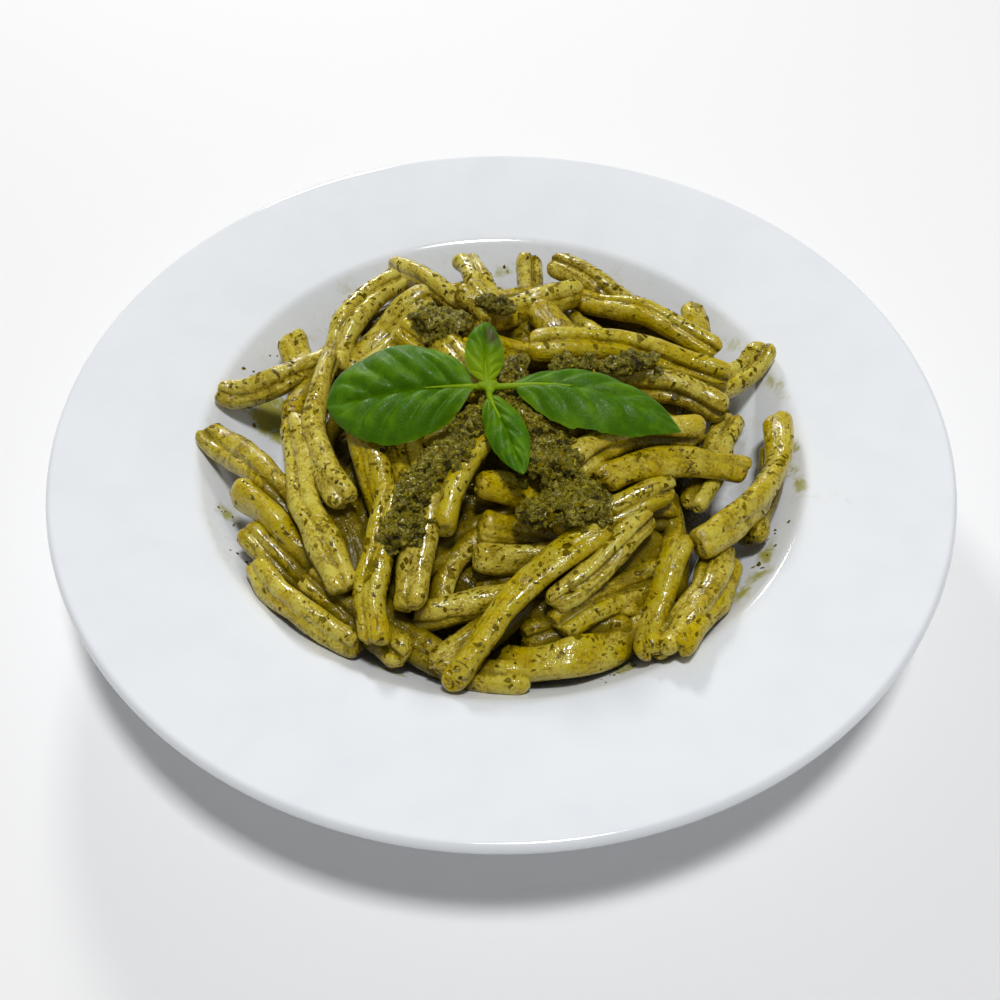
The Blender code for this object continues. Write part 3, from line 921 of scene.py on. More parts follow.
@dataclass
class Plate:
    """The plate: a turned well with a foot, a rounded shoulder and a broad sloping rim. Sizes in metres."""

    radius: float = 0.130
    height: float = 0.0365
    wall: float = 0.0038
    shoulder_radius: float = 0.090
    shoulder_height: float = 0.0286
    shoulder_round: float = 0.006
    well_slope: float = math.radians(45)
    floor_height: float = 0.0070
    floor_round: float = 0.018
    foot_outer: float = 0.0660
    foot_inner: float = 0.0615
    foot_chamfer: float = 0.0008
    recess_height: float = 0.0028
    steps: int = 288
    lip_steps: int = 12
    merge: float = 0.000002
    ring_gap: float = 0.0035
    fine_gap: float = 0.0020
    fine_from: float = 0.072
    fine_to: float = 0.096
    clean_from: float = 96.0
    clean_over: float = 6.0
    upward: float = 0.2
    crease: float = 60.0
    smears: tuple[Smear, ...] = (
        Smear((-80, -27), 5, 2.4, -45, 0.5),
        Smear((-77, 38), 6, 4, 60, 0.34),
        Smear((-59, 57), 4, 3, 40, 0.3),
        Smear((-54, 67), 7, 4, 30, 0.3),
        # Partly oil, partly painted shadow: this strong smear darkens the plate under the left-hand piece.
        Smear((-72, 18), 9, 8, 0, 0.8),
        Smear((39, 75), 12, 2.2, -40, 0.3),
        Smear((77, 40), 5, 4, 0, 0.34),
        Smear((82, 30), 4, 2.6, -60, 0.5),
        Smear((86, 20), 9, 3.2, -70, 0.38),
        Smear((87, -5), 2.2, 2.0, 0, 0.8),
        Smear((85.5, -15), 16, 2.4, -80, 0.46),
        Smear((74, -42), 7, 2.6, 60, 0.52),
        Smear((66, -54), 13, 2.8, 38, 0.52),
        Smear((55, -64), 6, 2.4, 40, 0.5),
        Smear((33, -77), 6, 2.6, 20, 0.6),
        Smear((-30, -77), 11, 1.8, -25, 0.46),
        Smear((1, 82), 4, 2, 0, 0.5),
        Smear((0, 0), 78, 78, 0, 0.5),
    )

    @property
    def rim_slope(self) -> float:
        """The slope of the rim in radians."""
        return math.atan2(self.height - self.shoulder_height, self.radius - self.shoulder_radius)

    @staticmethod
    def bend(
        corner: tuple[float, float], start: float, end: float, radius: float, steps: int
    ) -> Line:
        """A corner between two slopes, rounded off.

        Args:
            corner: Where the two slopes would meet.
            start: The slope before, in radians.
            end: The slope after, in radians.
            radius: The radius of the rounding.
            steps: How many steps it takes.

        Returns:
            Points of radius and height.
        """
        half = (end - start) / 2
        side = math.copysign(1, half)
        reach = radius * abs(math.tan(half))
        x = corner[0] - reach * math.cos(start) - side * radius * math.sin(start)
        y = corner[1] - reach * math.sin(start) + side * radius * math.cos(start)
        first = start - side * math.pi / 2
        angles = [first + 2 * half * i / steps for i in range(steps + 1)]
        return [(x + radius * math.cos(a), y + radius * math.sin(a)) for a in angles]

    def upper(self, fine: int = 9) -> Line:
        """The upper side from its middle to the start of the lip.

        Args:
            fine: How many steps each bend has.

        Returns:
            Its points, as radius and height.
        """
        run = (self.shoulder_height - self.floor_height) / math.tan(self.well_slope)
        knee = (self.shoulder_radius - run, self.floor_height)
        shoulder = (self.shoulder_radius, self.shoulder_height)
        points = [(0.0, self.floor_height)]
        points += self.bend(knee, 0.0, self.well_slope, self.floor_round, fine)
        points += self.bend(shoulder, self.well_slope, self.rim_slope, self.shoulder_round, fine)
        lip = self.wall / 2
        across, up = lip * (1 + math.sin(self.rim_slope)), lip * (1 - math.cos(self.rim_slope))
        return [*points, (self.radius - across, self.height - up)]

    def under(self, top: Line) -> Line:
        """The under side, a wall's thickness below the upper one.

        Args:
            top: The upper side.

        Returns:
            Points of radius and height in the same order.
        """
        moved = []
        for i, point in enumerate(top):
            here, after = Vector(point), Vector(top[min(i + 1, len(top) - 1)])
            before = Vector(top[max(i - 1, 0)])
            ins = (here - before).normalized() if i else (after - here).normalized()
            outs = (after - here).normalized() if i < len(top) - 1 else ins
            along = (ins + outs).normalized()
            moved.append(tuple(here + Vector((along.y, -along.x)) * (self.wall / along.dot(ins))))
        return moved

    def outline(self) -> Line:
        """The whole outline, from the middle of the well round the lip and the foot to the middle below.

        Returns:
            Its points, as radius and height.
        """
        top = self.upper()
        under = self.under(top)
        middle = ((top[-1][0] + under[-1][0]) / 2, (top[-1][1] + under[-1][1]) / 2)
        half, first = self.wall / 2, self.rim_slope + math.pi / 2
        angles = [first - math.pi * i / self.lip_steps for i in range(self.lip_steps + 1)]
        lip = [(middle[0] + half * math.cos(a), middle[1] + half * math.sin(a)) for a in angles]
        cut, outside, inside = self.foot_chamfer, self.foot_outer, self.foot_inner
        outer = [point for point in reversed(under[:-1]) if point[0] > outside + 2 * cut]
        foot = [
            (outside + 1.2 * cut, outer[-1][1] - 1.2 * cut),
            (outside, outer[-1][1] - 2.6 * cut),
            (outside, 1.2 * cut),
            (outside - 0.35 * cut, 0.35 * cut),
            (outside - 1.2 * cut, 0.0),
            (inside + 1.2 * cut, 0.0),
            (inside + 0.35 * cut, 0.35 * cut),
            (inside, 1.2 * cut),
            (inside, self.recess_height - cut),
            (inside - cut, self.recess_height),
            (0.0, self.recess_height),
        ]
        return self.denser(top[:-1]) + lip + self.denser(outer + foot)

    def denser(self, line: Line) -> Line:
        """Puts more points on a line, closest together where oil lies on the plate.

        Args:
            line: The line's points, as radius and height.

        Returns:
            The points of the denser line.
        """
        dense = []
        for first, second in zip(line, line[1:]):
            fine = self.fine_from < (first[0] + second[0]) / 2 < self.fine_to
            gap = self.fine_gap if fine else self.ring_gap
            pieces = max(round(math.dist(first, second) / gap), 1)
            dense += [tuple(np.array(first) + (np.array(second) - first) * i / pieces) for i in range(pieces)]
        return dense + [line[-1]]

    def build(self) -> Piece:
        """Draws the outline point by point, spins it, and smears the plate.

        Returns:
            The finished plate.
        """
        line = self.outline()
        deselect_all()
        bpy.ops.mesh.primitive_plane_add(size=MM, location=(0, 0, 0))
        plate = bpy.context.object
        plate.name = "plate_glazed"
        bpy.ops.object.mode_set(mode="EDIT")
        bpy.ops.mesh.select_all(action="SELECT")
        bpy.ops.mesh.merge(type="CENTER")
        bpy.ops.transform.translate(value=(line[0][0], 0, line[0][1]))
        for before, after in zip(line, line[1:]):
            step = (after[0] - before[0], 0, after[1] - before[1])
            bpy.ops.mesh.extrude_region_move(TRANSFORM_OT_translate={"value": step})
        bpy.ops.mesh.select_all(action="SELECT")
        spin = {"center": (0, 0, 0), "axis": (0, 0, 1), "use_auto_merge": True}
        bpy.ops.mesh.spin(steps=self.steps, angle=math.tau, **spin)
        bpy.ops.mesh.select_all(action="SELECT")
        bpy.ops.mesh.remove_doubles(threshold=self.merge)
        bpy.ops.mesh.normals_make_consistent(inside=False)
        bpy.ops.object.mode_set(mode="OBJECT")
        smooth(plate, self.crease)
        self.smear(plate)
        return dress(plate, GlazeFinish().make(), "plate", "plate")

    def smear(self, plate: Piece) -> None:
        """Writes where oil lies on the plate into its mesh.

        Args:
            plate: The plate.
        """
        points = vertices(plate) / MM
        facing = np.array([vert.normal.z for vert in plate.data.vertices]) > self.upward
        amount = np.zeros(len(points))
        for patch in self.smears:
            turn = math.radians(patch.heading)
            apart = points[:, :2] - np.array(patch.place)
            along = (apart[:, 0] * math.cos(turn) + apart[:, 1] * math.sin(turn)) / patch.long
            across = (apart[:, 1] * math.cos(turn) - apart[:, 0] * math.sin(turn)) / patch.wide
            share = np.clip(1 - np.hypot(along, across) ** 2 / 2, 0, 1)
            amount = np.maximum(amount, share * patch.strength)
        radius = np.hypot(points[:, 0], points[:, 1])
        amount *= facing * np.clip((self.clean_from - radius) / self.clean_over, 0, 1)
        write_looks(plate, np.repeat(amount[:, None], 4, axis=1))


# The heap of pasta.


class Strand(NamedTuple):
    """One laid piece, in mm and degrees: its ends in plan, bow to the left, roll and twist."""

    start: Sequence[float]
    end: Sequence[float]
    bow: float = 0.0
    roll: float = 0.0
    twist: float = 40.0


# From the topmost to the lowest, as each lies under those before it.
LAID = (
    # Left side, uppermost.
    Strand((-61, -6), (-41, -62), -2, 30, -40),
    Strand((-51, 18), (-41, -38), -7, 55, -80),
    Strand((-52, 20), (-33, 58), 3, 20, 60),
    Strand((-86, 14), (-50, 39), -9, 75, 30),
    # Near side, uppermost.
    Strand((27, -46), (-12, -85), -3, 40, 80),
    Strand((0, -12), (-14, -48), -3, 60, 40),
    Strand((-18, -28), (-23, -68), -1, 15, 40),
    Strand((-29, -34), (-33, -74), -2, 20, 40),
    Strand((-45, 5), (-31, -37), 0, 30, 50),
    # Right side, uppermost.
    Strand((82, 3), (53, -47), 8, 90, 160),
    Strand((9, 15), (68, 15), 4, 50, 60),
    Strand((10, 35), (30, 7), 2, 20, 30),
    Strand((-3, 33), (25, 48), 0, 60, 40),
    Strand((16, 54), (67, 27), 1, 20, 60),
    Strand((22, 7), (67, 0), 5, 50, 40),
    Strand((13, -45), (46, -32), -1, 50, 40),
    Strand((27, -33), (71, -20), 4, 5, 30),
    Strand((16, -34), (56, -11), 4, 60, 40),
    Strand((52, -33), (70, 4), 0, 5, 30),
    Strand((59, -43), (41, -77), 2, 40, 30),
    Strand((49, -43), (38, -78), -1, 30, 30),
    Strand((12, -67), (40, -42), -1, 50, 40),
    # Middle.
    Strand((-21, 30), (-5, -7), 0, 20, 30),
    Strand((-31, 27), (-7, 6), 2, 40, 30),
    Strand((-18, -81), (9, -61), 1, 10, 30),
    Strand((-23, -66), (11, -54), -3, 75, 30),
    Strand((-6, -52), (25, -47), -1, 70, 30),
    Strand((-6, -44), (22, -48), 3, 60, 30),
    Strand((-16, -65), (2, -44), 6, 85, 20),
    Strand((-12, 49), (9, 28), 1, 20, 40),
    Strand((26, 2), (59, -7), 3, 60, 30),
    Strand((55, 10), (83, 32), -3, 20, 50),
    Strand((20, -45), (47, -35), 3, 50, 20),
    Strand((14, -70), (44, -50), 1, 20, 40),
    Strand((-2, -77), (42, -59), -9, 40, 60),
    Strand((7, -71), (36, -62), 1, 60, 30),
    Strand((-18, -71), (6, -82), -3, 20, 30),
    # Far side.
    Strand((-54, 36), (-63, -2), -2, 50, 30),
    Strand((-39, 72), (-10, 47), 0, 70, 40),
    Strand((-14, 73), (-4, 34), 3, 10, 60),
    Strand((17, 67), (47, 43), 0, 45, 50),
    # Left side, lower.
    Strand((-52, -54), (-25, -77), 1, 20, 30),
    Strand((-71, -38), (-38, -64), -1, 50, 40),
    Strand((-67, -49), (-37, -73), -3, 60, 20),
    Strand((-73, -26), (-39, -58), -1, 80, 30),
    Strand((-87, -3), (-52, -42), 2, 40, 60),
    Strand((-48, 20), (-22, 44), 2, 20, 30),
    Strand((-37, 28), (-25, 72), 1, 20, 30),
    # Far side, lower.
    Strand((-6, 52), (34, 60), 0, 30, 30),
    Strand((15, 56), (37, 20), -2, 30, 40),
    Strand((10, 32), (9, 75), 0, 5, 30),
    Strand((68, 17), (62, 52), 1, 20, 20),
    Strand((-56, 3), (-68, 40), -1, 5, 20),
    # Right side, lower.
    Strand((82, -4), (69, -39), 1, 30, 30),
    Strand((64, -44), (44, -78), 1, 20, 20),
    # Lower on the far slope.
    Strand((-44, 40), (-8, 60), 4, 20, 30),
    Strand((14, 62), (54, 36), 4, 40, 30),
    # Deepest of those that show.
    Strand((-38, 2), (-26, -36), 0, 30, 20),
    Strand((-34, 13), (3, 2), 5, 30, 40),
    Strand((-12, 8), (29, 4), 0, 40, 40),
    Strand((-9, 20), (31, 26), -3, 20, 40),
    Strand((-47, -31), (-35, -62), 1, 10, 20),
    Strand((-30, -2), (-22, -34), 1, 30, 20),
    Strand((46, -26), (45, -58), 2, 60, 20),
    Strand((-6, -35), (28, -34), 1, 10, 20),
    Strand((-23, -53), (6, -36), 0, 10, 20),
    Strand((-37, -57), (-12, -77), -2, 30, 30),
    Strand((-19, -18), (9, 1), 2, 20, 40),
    Strand((5, -22), (40, -10), 2, 30, 40),
    Strand((6, -62), (38, -58), -1, 10, 20),
    Strand((22, -62), (44, -42), 1, 30, 20),
    Strand((6, -74), (34, -67), 1, 60, 30),
    Strand((46, 24), (60, 42), 1, 30, 20),
)


class Layer(Enum):
    """The meshes that the pieces of pasta are gathered in."""

    UPPER = "pasta_upper"
    MIDDLE = "pasta_middle"
    LOWER = "pasta_lower"
    HIDDEN = "pasta_hidden"


class Spot(NamedTuple):
    """A place in plan and the half width and half height of a round piece there, in mm."""

    x: float
    y: float
    wide: float
    tall: float


@dataclass
class Laying:
    """Lays pieces from the topmost down, each under those already laid and on the plate. Sizes in mm."""

    plate: Plate
    heap_radius: float = 82.0
    edge_height: float = 31.0
    top_height: float = 50.0
    half_width: float = 5.0
    half_depth: float = 3.1
    sink: float = 0.7
    snug: float = 0.72
    deepest: float = 10.0
    bend_radius: float = 30.0
    reach: float = 105.0
    step: float = 1.5
    lift: float = 0.6

    def __post_init__(self) -> None:
        """Makes the height maps of the plate below and of the pieces above."""
        axis = np.arange(-self.reach, self.reach + self.step, self.step)
        self.x, self.y = np.meshgrid(axis, axis, indexing="ij")
        top = np.array(self.plate.upper(3)) / MM
        self.floor = np.interp(np.hypot(self.x, self.y), top[:, 0], top[:, 1]) + self.lift
        self.ceiling = np.full(self.x.shape, np.inf)

    def dome(self, radius: Array | float) -> Array:
        """The height of the middle of the topmost pieces at a radius."""
        share = np.minimum(np.asarray(radius) / self.heap_radius, 1.1)
        return self.edge_height + (self.top_height - self.edge_height) * (1 - share**2)

    def around(self, spot: Spot, share: float = 1.0) -> tuple[tuple[slice, slice], Array]:
        """The room that a round piece takes up.

        Args:
            spot: Where it lies.
            share: The share of its width that counts.

        Returns:
            The cells round its middle, and how far it stands out above each.
        """
        wide = share * spot.wide
        low = [max(int((value - wide + self.reach) / self.step), 0) for value in spot[:2]]
        high = [int((value + wide + self.reach) / self.step) + 2 for value in spot[:2]]
        cells = (slice(low[0], high[0]), slice(low[1], high[1]))
        apart = np.hypot(self.x[cells] - spot.x, self.y[cells] - spot.y) / wide
        bulge = spot.tall * np.sqrt(np.clip(1 - apart**2, 0, 1))
        return cells, np.where(apart < 1, bulge, np.nan)

    def lowest(self, spot: Spot) -> float:
        """The lowest that the middle of a piece can lie here, on the plate."""
        cells, bulge = self.around(spot)
        return float(np.nanmax(self.floor[cells] + bulge))

    def highest(self, spot: Spot) -> float:
        """The highest that the middle of a piece can lie here, under those laid over it."""
        cells, bulge = self.around(spot, self.snug)
        return float(np.nanmin(self.ceiling[cells] - bulge)) + self.sink

    def cover(self, spot: Spot, height: float) -> None:
        """Lowers the ceiling to the underside of a piece."""
        cells, bulge = self.around(spot, self.snug)
        self.ceiling[cells] = np.fmin(self.ceiling[cells], height - bulge)

    def lay(self, strand: Strand, lower: float = 0.0) -> tuple[Array, Array]:
        """Lays one piece.

        Args:
            strand: The piece.
            lower: How far below the top of the heap it stays.

        Returns:
            Its middle line in mm, and its turn in radians at each point.
        """
        start, end = np.array(strand.start, float), np.array(strand.end, float)
        length = float(np.linalg.norm(end - start))
        steps = max(int(length / 2), 12)
        along = (end - start) / length
        share = np.linspace(0, 1, steps)
        bow = np.outer(strand.bow * 4 * share * (1 - share), [-along[1], along[0]])
        plan = start + np.outer(share, end - start) + bow
        turn = np.radians(strand.roll + strand.twist * (share - 0.5))
        wide = np.hypot(self.half_width * np.cos(turn), self.half_depth * np.sin(turn))
        tall = np.hypot(self.half_width * np.sin(turn), self.half_depth * np.cos(turn))
        spots = [Spot(*values) for values in zip(*plan.T, wide, tall)]
        top = self.dome(np.hypot(*plan.T)) - lower
        high = np.clip([self.highest(spot) for spot in spots], top - self.deepest, top)
        apart = length * share
        bend = (apart[:, None] - apart[None, :]) ** 2 / (2 * self.bend_radius)
        height = (high[None, :] + bend).min(axis=1)
        kernel = np.array([1, 2, 3, 4, 3, 2, 1]) / 16
        height = np.convolve(np.pad(height, 3, mode="reflect", reflect_type="odd"), kernel, "valid")
        height = np.maximum(height, [self.lowest(spot) for spot in spots])
        for spot, middle in zip(spots, height):
            self.cover(spot, middle)
        return np.column_stack([plan, height]), turn


@dataclass
class StrandForm:
    """The form of one kind of piece: a strip rolled in from both edges into two plump lobes. Sizes in mm.

    A run is the length over which something changes along the piece.
    """

    half_width: float = 4.75
    half_depth: float = 3.5
    squareness: float = 2.1
    lobe_place: float = 2.2
    groove_place: float = 0.5
    groove_depth: tuple[float, float] = (0.02, 0.44)
    groove_width: float = 1.0
    groove_run: float = 14.0
    depth_run: float = 7.0
    uneven: float = 0.35
    seam_depth: float = 0.08
    seam_place: float = 2.1
    seam_width: float = 0.4
    seam_odds: tuple[float, float] = (-1.0, 1.2)
    seam_shade: float = 0.8
    groove_edge: float = 1.3
    groove_most: float = 0.7
    groove_full: float = 0.45
    columns: int = 48
    bunching: float = 0.32
    spacing: float = 1.1
    close: float = 0.4
    cap_rings: tuple[float, ...] = (0.86, 0.7, 0.54, 0.38, 0.22, 0.08)
    cap_dome: float = 0.25
    curl_radius: float = 1.15
    curl_width: float = 0.32
    curl_depth: float = 0.9
    curl_middle: float = 1.9
    curl_spread: float = 1.6
    eye: float = 0.55
    split_place: float = 0.4
    split_width: float = 0.3
    opening: float = 0.5
    opening_reach: float = 4.5
    size_spread: float = 0.07
    swell: float = 0.12
    swell_run: float = 9.0
    flatness: float = 0.7
    flat_run: float = 12.0
    skew: float = 0.16
    wander: float = 1.3
    bob: float = 0.4
    wander_run: float = 15.0
    blunt: tuple[float, float] = (0.15, 0.5)
    blunt_reach: float = 3.2
    lump: float = 0.25
    lump_size: float = 4.4
    grain: float = 0.12
    grain_size: float = 1.7
    ridge: float = 0.06
    ridge_length: float = 9.0
    ridge_width: float = 1.3
    end_size: float = 0.94
    slant: float = 0.16
    cut_step: float = 0.7
    cut_reach: float = 5.0
    ragged: float = 0.8
    seed: int = 1000

    def along(self, line: Array, turn: Array) -> tuple[Array, Array, Array]:
        """The middle line at even spacing, with one more ring close to each end.

        Args:
            line: The middle line as laid.
            turn: Its turn at each point.

        Returns:
            Points, turns and the length reached at each.
        """
        steps = np.linalg.norm(np.diff(line, axis=0), axis=1)
        reached = np.concatenate([[0.0], np.cumsum(steps)])
        rings = max(round(reached[-1] / self.spacing), 6) + 1
        even = np.linspace(0, reached[-1], rings)
        places = np.concatenate([[0.0, self.close], even[1:-1], [reached[-1] - self.close, reached[-1]]])
        points = [np.interp(places, reached, line[:, i]) for i in range(3)]
        kernel = np.array([1, 2, 3, 2, 1]) / 9
        for _ in range(2):
            padded = [np.pad(row, 2, mode="reflect", reflect_type="odd") for row in points]
            points = [np.convolve(row, kernel, "valid") for row in padded]
        return np.column_stack(points), np.interp(places, reached, turn), places

    def angles(self) -> Array:
        """The angles of the outline's points, closer together at the two grooves."""
        even = np.arange(self.columns) / self.columns * math.tau
        return even + self.bunching * np.sin(2 * even)

    def section(self, places: Array, number: int, rng: Draw) -> tuple[Array, Array]:
        """The section at each ring.

        Args:
            places: How far along the piece each ring lies.
            number: The piece's number.
            rng: The piece's own draw.

        Returns:
            Points of each ring, across and up, and how deep in a groove each lies, from 0 to 1.
        """
        row = 37.0 * number
        nearer = np.minimum(places, places[-1] - places)
        opening = self.opening * np.exp(-nearer / self.opening_reach) * rng.uniform(0.0, 1.0)
        swell = 1 + self.swell * noise_at(places, row, 0, self.swell_run, Pattern.SWELL)
        swell = swell + rng.uniform(-1, 1) * self.size_spread
        flat = noise_at(places, row, 0, self.flat_run, Pattern.FLATNESS)
        flat = 1 + self.flatness * self.swell * flat
        angle = self.angles()
        c, s = np.cos(angle), np.sin(angle)
        power = 2 / self.squareness
        x = np.outer(self.half_width * swell * flat, np.sign(c) * np.abs(c) ** power)
        y = np.outer(self.half_depth * swell / flat, np.sign(s) * np.abs(s) ** power)
        upper = np.sign(s)
        above, below = rng.uniform(*self.groove_depth, 2)
        change = 1 + self.uneven * noise_at(places, row, 0, self.depth_run, Pattern.GROOVE_DEPTH)
        depth = np.where(upper > 0, above, below) * change[:, None] + opening[:, None]
        wander = self.uneven * noise_at(places, row, 0, self.groove_run, Pattern.GROOVE_PLACE)[:, None]
        wander = wander + self.groove_place * rng.choice([-1.0, 1.0])
        groove = 1 / (1 + ((x - upper * wander) / self.groove_width) ** 2) ** self.groove_edge
        seam_at = upper * (wander - np.sign(wander) * self.seam_place)
        seam = np.exp(-(((x - seam_at) / self.seam_width) ** 2)) * max(rng.uniform(*self.seam_odds), 0.0)
        y = y * (1 - np.clip(depth * groove, 0, self.groove_most) - self.seam_depth * seam)
        shape = np.stack([x, y * (1 + rng.uniform(-self.skew, self.skew) * np.tanh(x / 1.5))], axis=-1)
        blunt = np.where(places < places[-1] / 2, *rng.uniform(*self.blunt, 2))
        inside = 1 - np.clip(nearer / self.blunt_reach, 0, 1)
        shape *= (1 - blunt * (1 - np.sqrt(1 - inside**2)))[:, None, None]
        # The grooves and the seam are marked for the finish to darken: partly oil in them, partly painted
        # shade.
        dark = np.maximum(groove * depth / self.groove_full, self.seam_shade * seam)
        return shape, np.clip(dark, 0, 1)

    def relief(
        self, place: Array, points: Array, tangent: Array, places: Array, number: int
    ) -> Array:
        """How lumps, grain and fine ridges move the surface.

        Args:
            place: The points of each ring.
            points: The middle of each ring.
            tangent: The direction of the piece at each.
            places: How far along each lies.
            number: The piece's number.

        Returns:
            The moves, in the order of the points.
        """
        around = np.roll(place, -1, axis=1) - np.roll(place, 1, axis=1)
        outward = unit(np.cross(around, tangent[:, None]))
        outward *= np.sign((outward * (place - points[:, None])).sum(axis=(1, 2)))[:, None, None]
        flatly = place.reshape(-1, 3)
        bumps = self.lump * lattice_noise(flatly, self.lump_size, Pattern.LUMPS)
        bumps += self.grain * lattice_noise(flatly, self.grain_size, Pattern.GRAIN)
        column = np.tile(np.arange(self.columns) * 1.0, len(points))
        on = np.repeat(places, self.columns) / self.ridge_length
        bumps += self.ridge * noise_at(column, on, 5.0 * number, self.ridge_width, Pattern.RIDGES)
        return outward * bumps.reshape(*place.shape[:2], 1)

    def add(self, draft: MeshDraft, line: Array, turn: Array, number: int, sauce_and_shade: float) -> None:
        """Adds one piece to a draft.

        Args:
            draft: The mesh that it goes in.
            line: Its middle line in mm.
            turn: Its turn at each point in radians.
            number: Its number, which seeds its uneven form.
            sauce_and_shade: How much pesto clings to it, from 0 to 1, with painted shade added for the lower
                layer and the hidden pieces.
        """
        rng = np.random.default_rng(self.seed + number)
        points, turns, places = self.along(line, turn)
        rings, row = len(points), 17.0 * number
        shape, groove = self.section(places, number, rng)
        shape[[0, -1]] *= self.end_size
        level = (Pattern.SWAY_ACROSS, Pattern.SWAY_AWAY)
        sway = [noise_at(places, row, 0, self.wander_run, pattern) for pattern in level]
        sway.append(self.bob * noise_at(places, row, 0, self.flat_run, Pattern.SWAY_UP))
        points = points + self.wander * np.column_stack(sway)
        tangent = unit(np.gradient(points, axis=0))
        side = unit(np.cross([0.0, 0.0, 1.0], tangent))
        up = np.cross(tangent, side)
        c, s = np.cos(turns)[:, None], np.sin(turns)[:, None]
        across, above = c * side + s * up, c * up - s * side
        place = points[:, None] + shape[..., :1] * across[:, None] + shape[..., 1:] * above[:, None]
        torn = lattice_noise(place.reshape(-1, 3) * [1, 1, 0.4], self.grain_size, number).reshape(rings, -1)
        place = place + self.relief(place, points, tangent, places, number)
        nearer = np.minimum(places, places[-1] - places)
        pull = np.clip(1 - nearer / self.cut_reach, 0, 1)[:, None]
        first = np.arange(rings) < rings / 2
        shift = np.zeros((rings, self.columns))
        for part in (first, ~first):
            slant, step = rng.uniform(-self.slant, self.slant, 2), rng.uniform(-self.cut_step, self.cut_step)
            shift[part] = shape[part] @ slant + step * np.tanh(shape[part][..., 0] / 0.8)
        place = place + (pull * (shift + 0.5 * self.ragged * torn))[..., None] * tangent[:, None]
        looks = np.stack(np.broadcast_arrays(groove, rng.uniform(0, 1), sauce_and_shade, pull), axis=-1)
        sides = np.linalg.norm(np.diff(place[rings // 2], axis=0), axis=1)
        outline = np.concatenate([[0.0], np.cumsum(sides)])
        outline = np.append(outline, outline[-1] + 0.6) / 10
        reached = places / 10 + 7.3 * number
        self.add_tube(draft, place, looks, outline, reached)
        for ring, way in ((0, -1.0), (rings - 1, 1.0)):
            frame = (points[ring], across[ring], above[ring], tangent[ring] * way)
            self.add_cap(draft, place[ring], shape[ring], frame, looks[ring], outline, reached[ring])

    @staticmethod
    def add_tube(
        draft: MeshDraft, place: Array, looks: Array, outline: Array, reached: Array
    ) -> None:
        """Adds the long side of a piece.

        Args:
            draft: The mesh that it goes in.
            place: The points of each ring.
            looks: Four values for each.
            outline: How far round each column lies, for the surface's map.
            reached: How far along each ring lies.
        """
        rings, columns = place.shape[:2]
        corners = ((0, 0), (1, 0), (1, 1), (0, 1))
        steps = [(i, j) for i in range(rings - 1) for j in range(columns)]
        texture = [(outline[j + right], reached[i + on]) for i, j in steps for right, on in corners]
        draft.add(place.reshape(-1, 3), ring_faces(rings, columns), texture, looks.reshape(-1, 4))

    def hollows(self, x: Array, y: Array) -> Array:
        """How deep the two curls of the strip and the split between them cut into an end.

        Args:
            x: The points' places across the end, in mm.
            y: Their places up it, in mm.

        Returns:
            The depths, from 0 to 1.
        """
        lobe = np.where(x > 0, 1.0, -1.0)
        from_lobe = x - lobe * self.lobe_place
        radius = np.hypot(from_lobe, y)
        turn = np.abs(np.arctan2(y * lobe, from_lobe * lobe) - self.curl_middle)
        curl = np.exp(-(((radius - self.curl_radius) / self.curl_width) ** 2))
        curl *= np.clip(1.4 - turn / self.curl_spread, 0, 1)
        split = np.exp(-(((x - self.split_place * np.sign(y)) / self.split_width) ** 2))
        split *= np.clip((np.abs(y) - 0.5) / 0.5, 0, 1)
        return np.clip(np.maximum(np.maximum(curl, 0.7 * np.exp(-((radius / self.eye) ** 2))), split), 0, 1)

    def add_cap(
        self,
        draft: MeshDraft,
        rim: Array,
        shape: Array,
        frame: tuple[Array, Array, Array, Array],
        looks: Array,
        outline: Array,
        reached: float,
    ) -> None:
        """Adds the cut end of a piece, in which the two curls of the strip show.

        Args:
            draft: The mesh that it goes in.
            rim: The points of the last ring.
            shape: The same points across and up.
            frame: The middle of the end, the directions across and up, and the direction out.
            looks: Four values for each point of the rim.
            outline: How far round each column lies.
            reached: How far along the end lies.
        """
        middle, across, above, out = frame
        columns = len(rim)
        lean = (rim - middle) @ out
        paired = 0.5 * (lean + np.roll(lean[::-1], 1))
        core = np.clip(shape[:, 0], -self.lobe_place, self.lobe_place)
        rows, marks = [rim], [looks]
        for scale in self.cap_rings:
            x, y = core + (shape[:, 0] - core) * scale, shape[:, 1] * scale
            dark = self.hollows(x, y)
            push = paired + (lean - paired) * scale + self.cap_dome * (1 - scale**2) - self.curl_depth * dark
            rows.append(middle + x[:, None] * across + y[:, None] * above + push[:, None] * out)
            # The curls of the cut end are marked like a groove, so the finish darkens them as painted shade.
            marks.append(np.column_stack([dark, looks[:, 1:]]))
        last = (len(rows) - 1) * columns
        rings = [(j, j + 1, columns - j - 1, (columns - j) % columns) for j in range(columns // 2)]
        sides = ring_faces(len(rows), columns)
        closing = [tuple(last + index for index in dict.fromkeys(ring)) for ring in rings]
        if np.linalg.det(np.stack([across, above, out])) < 0:
            sides, closing = ([face[::-1] for face in faces] for faces in (sides, closing))
        texture = [(outline[i % columns], reached + 0.05 * (i // columns)) for face in sides for i in face]
        texture += [(outline[i - last], reached) for face in closing for i in face]
        draft.add(np.concatenate(rows), sides + closing, texture, np.concatenate(marks))


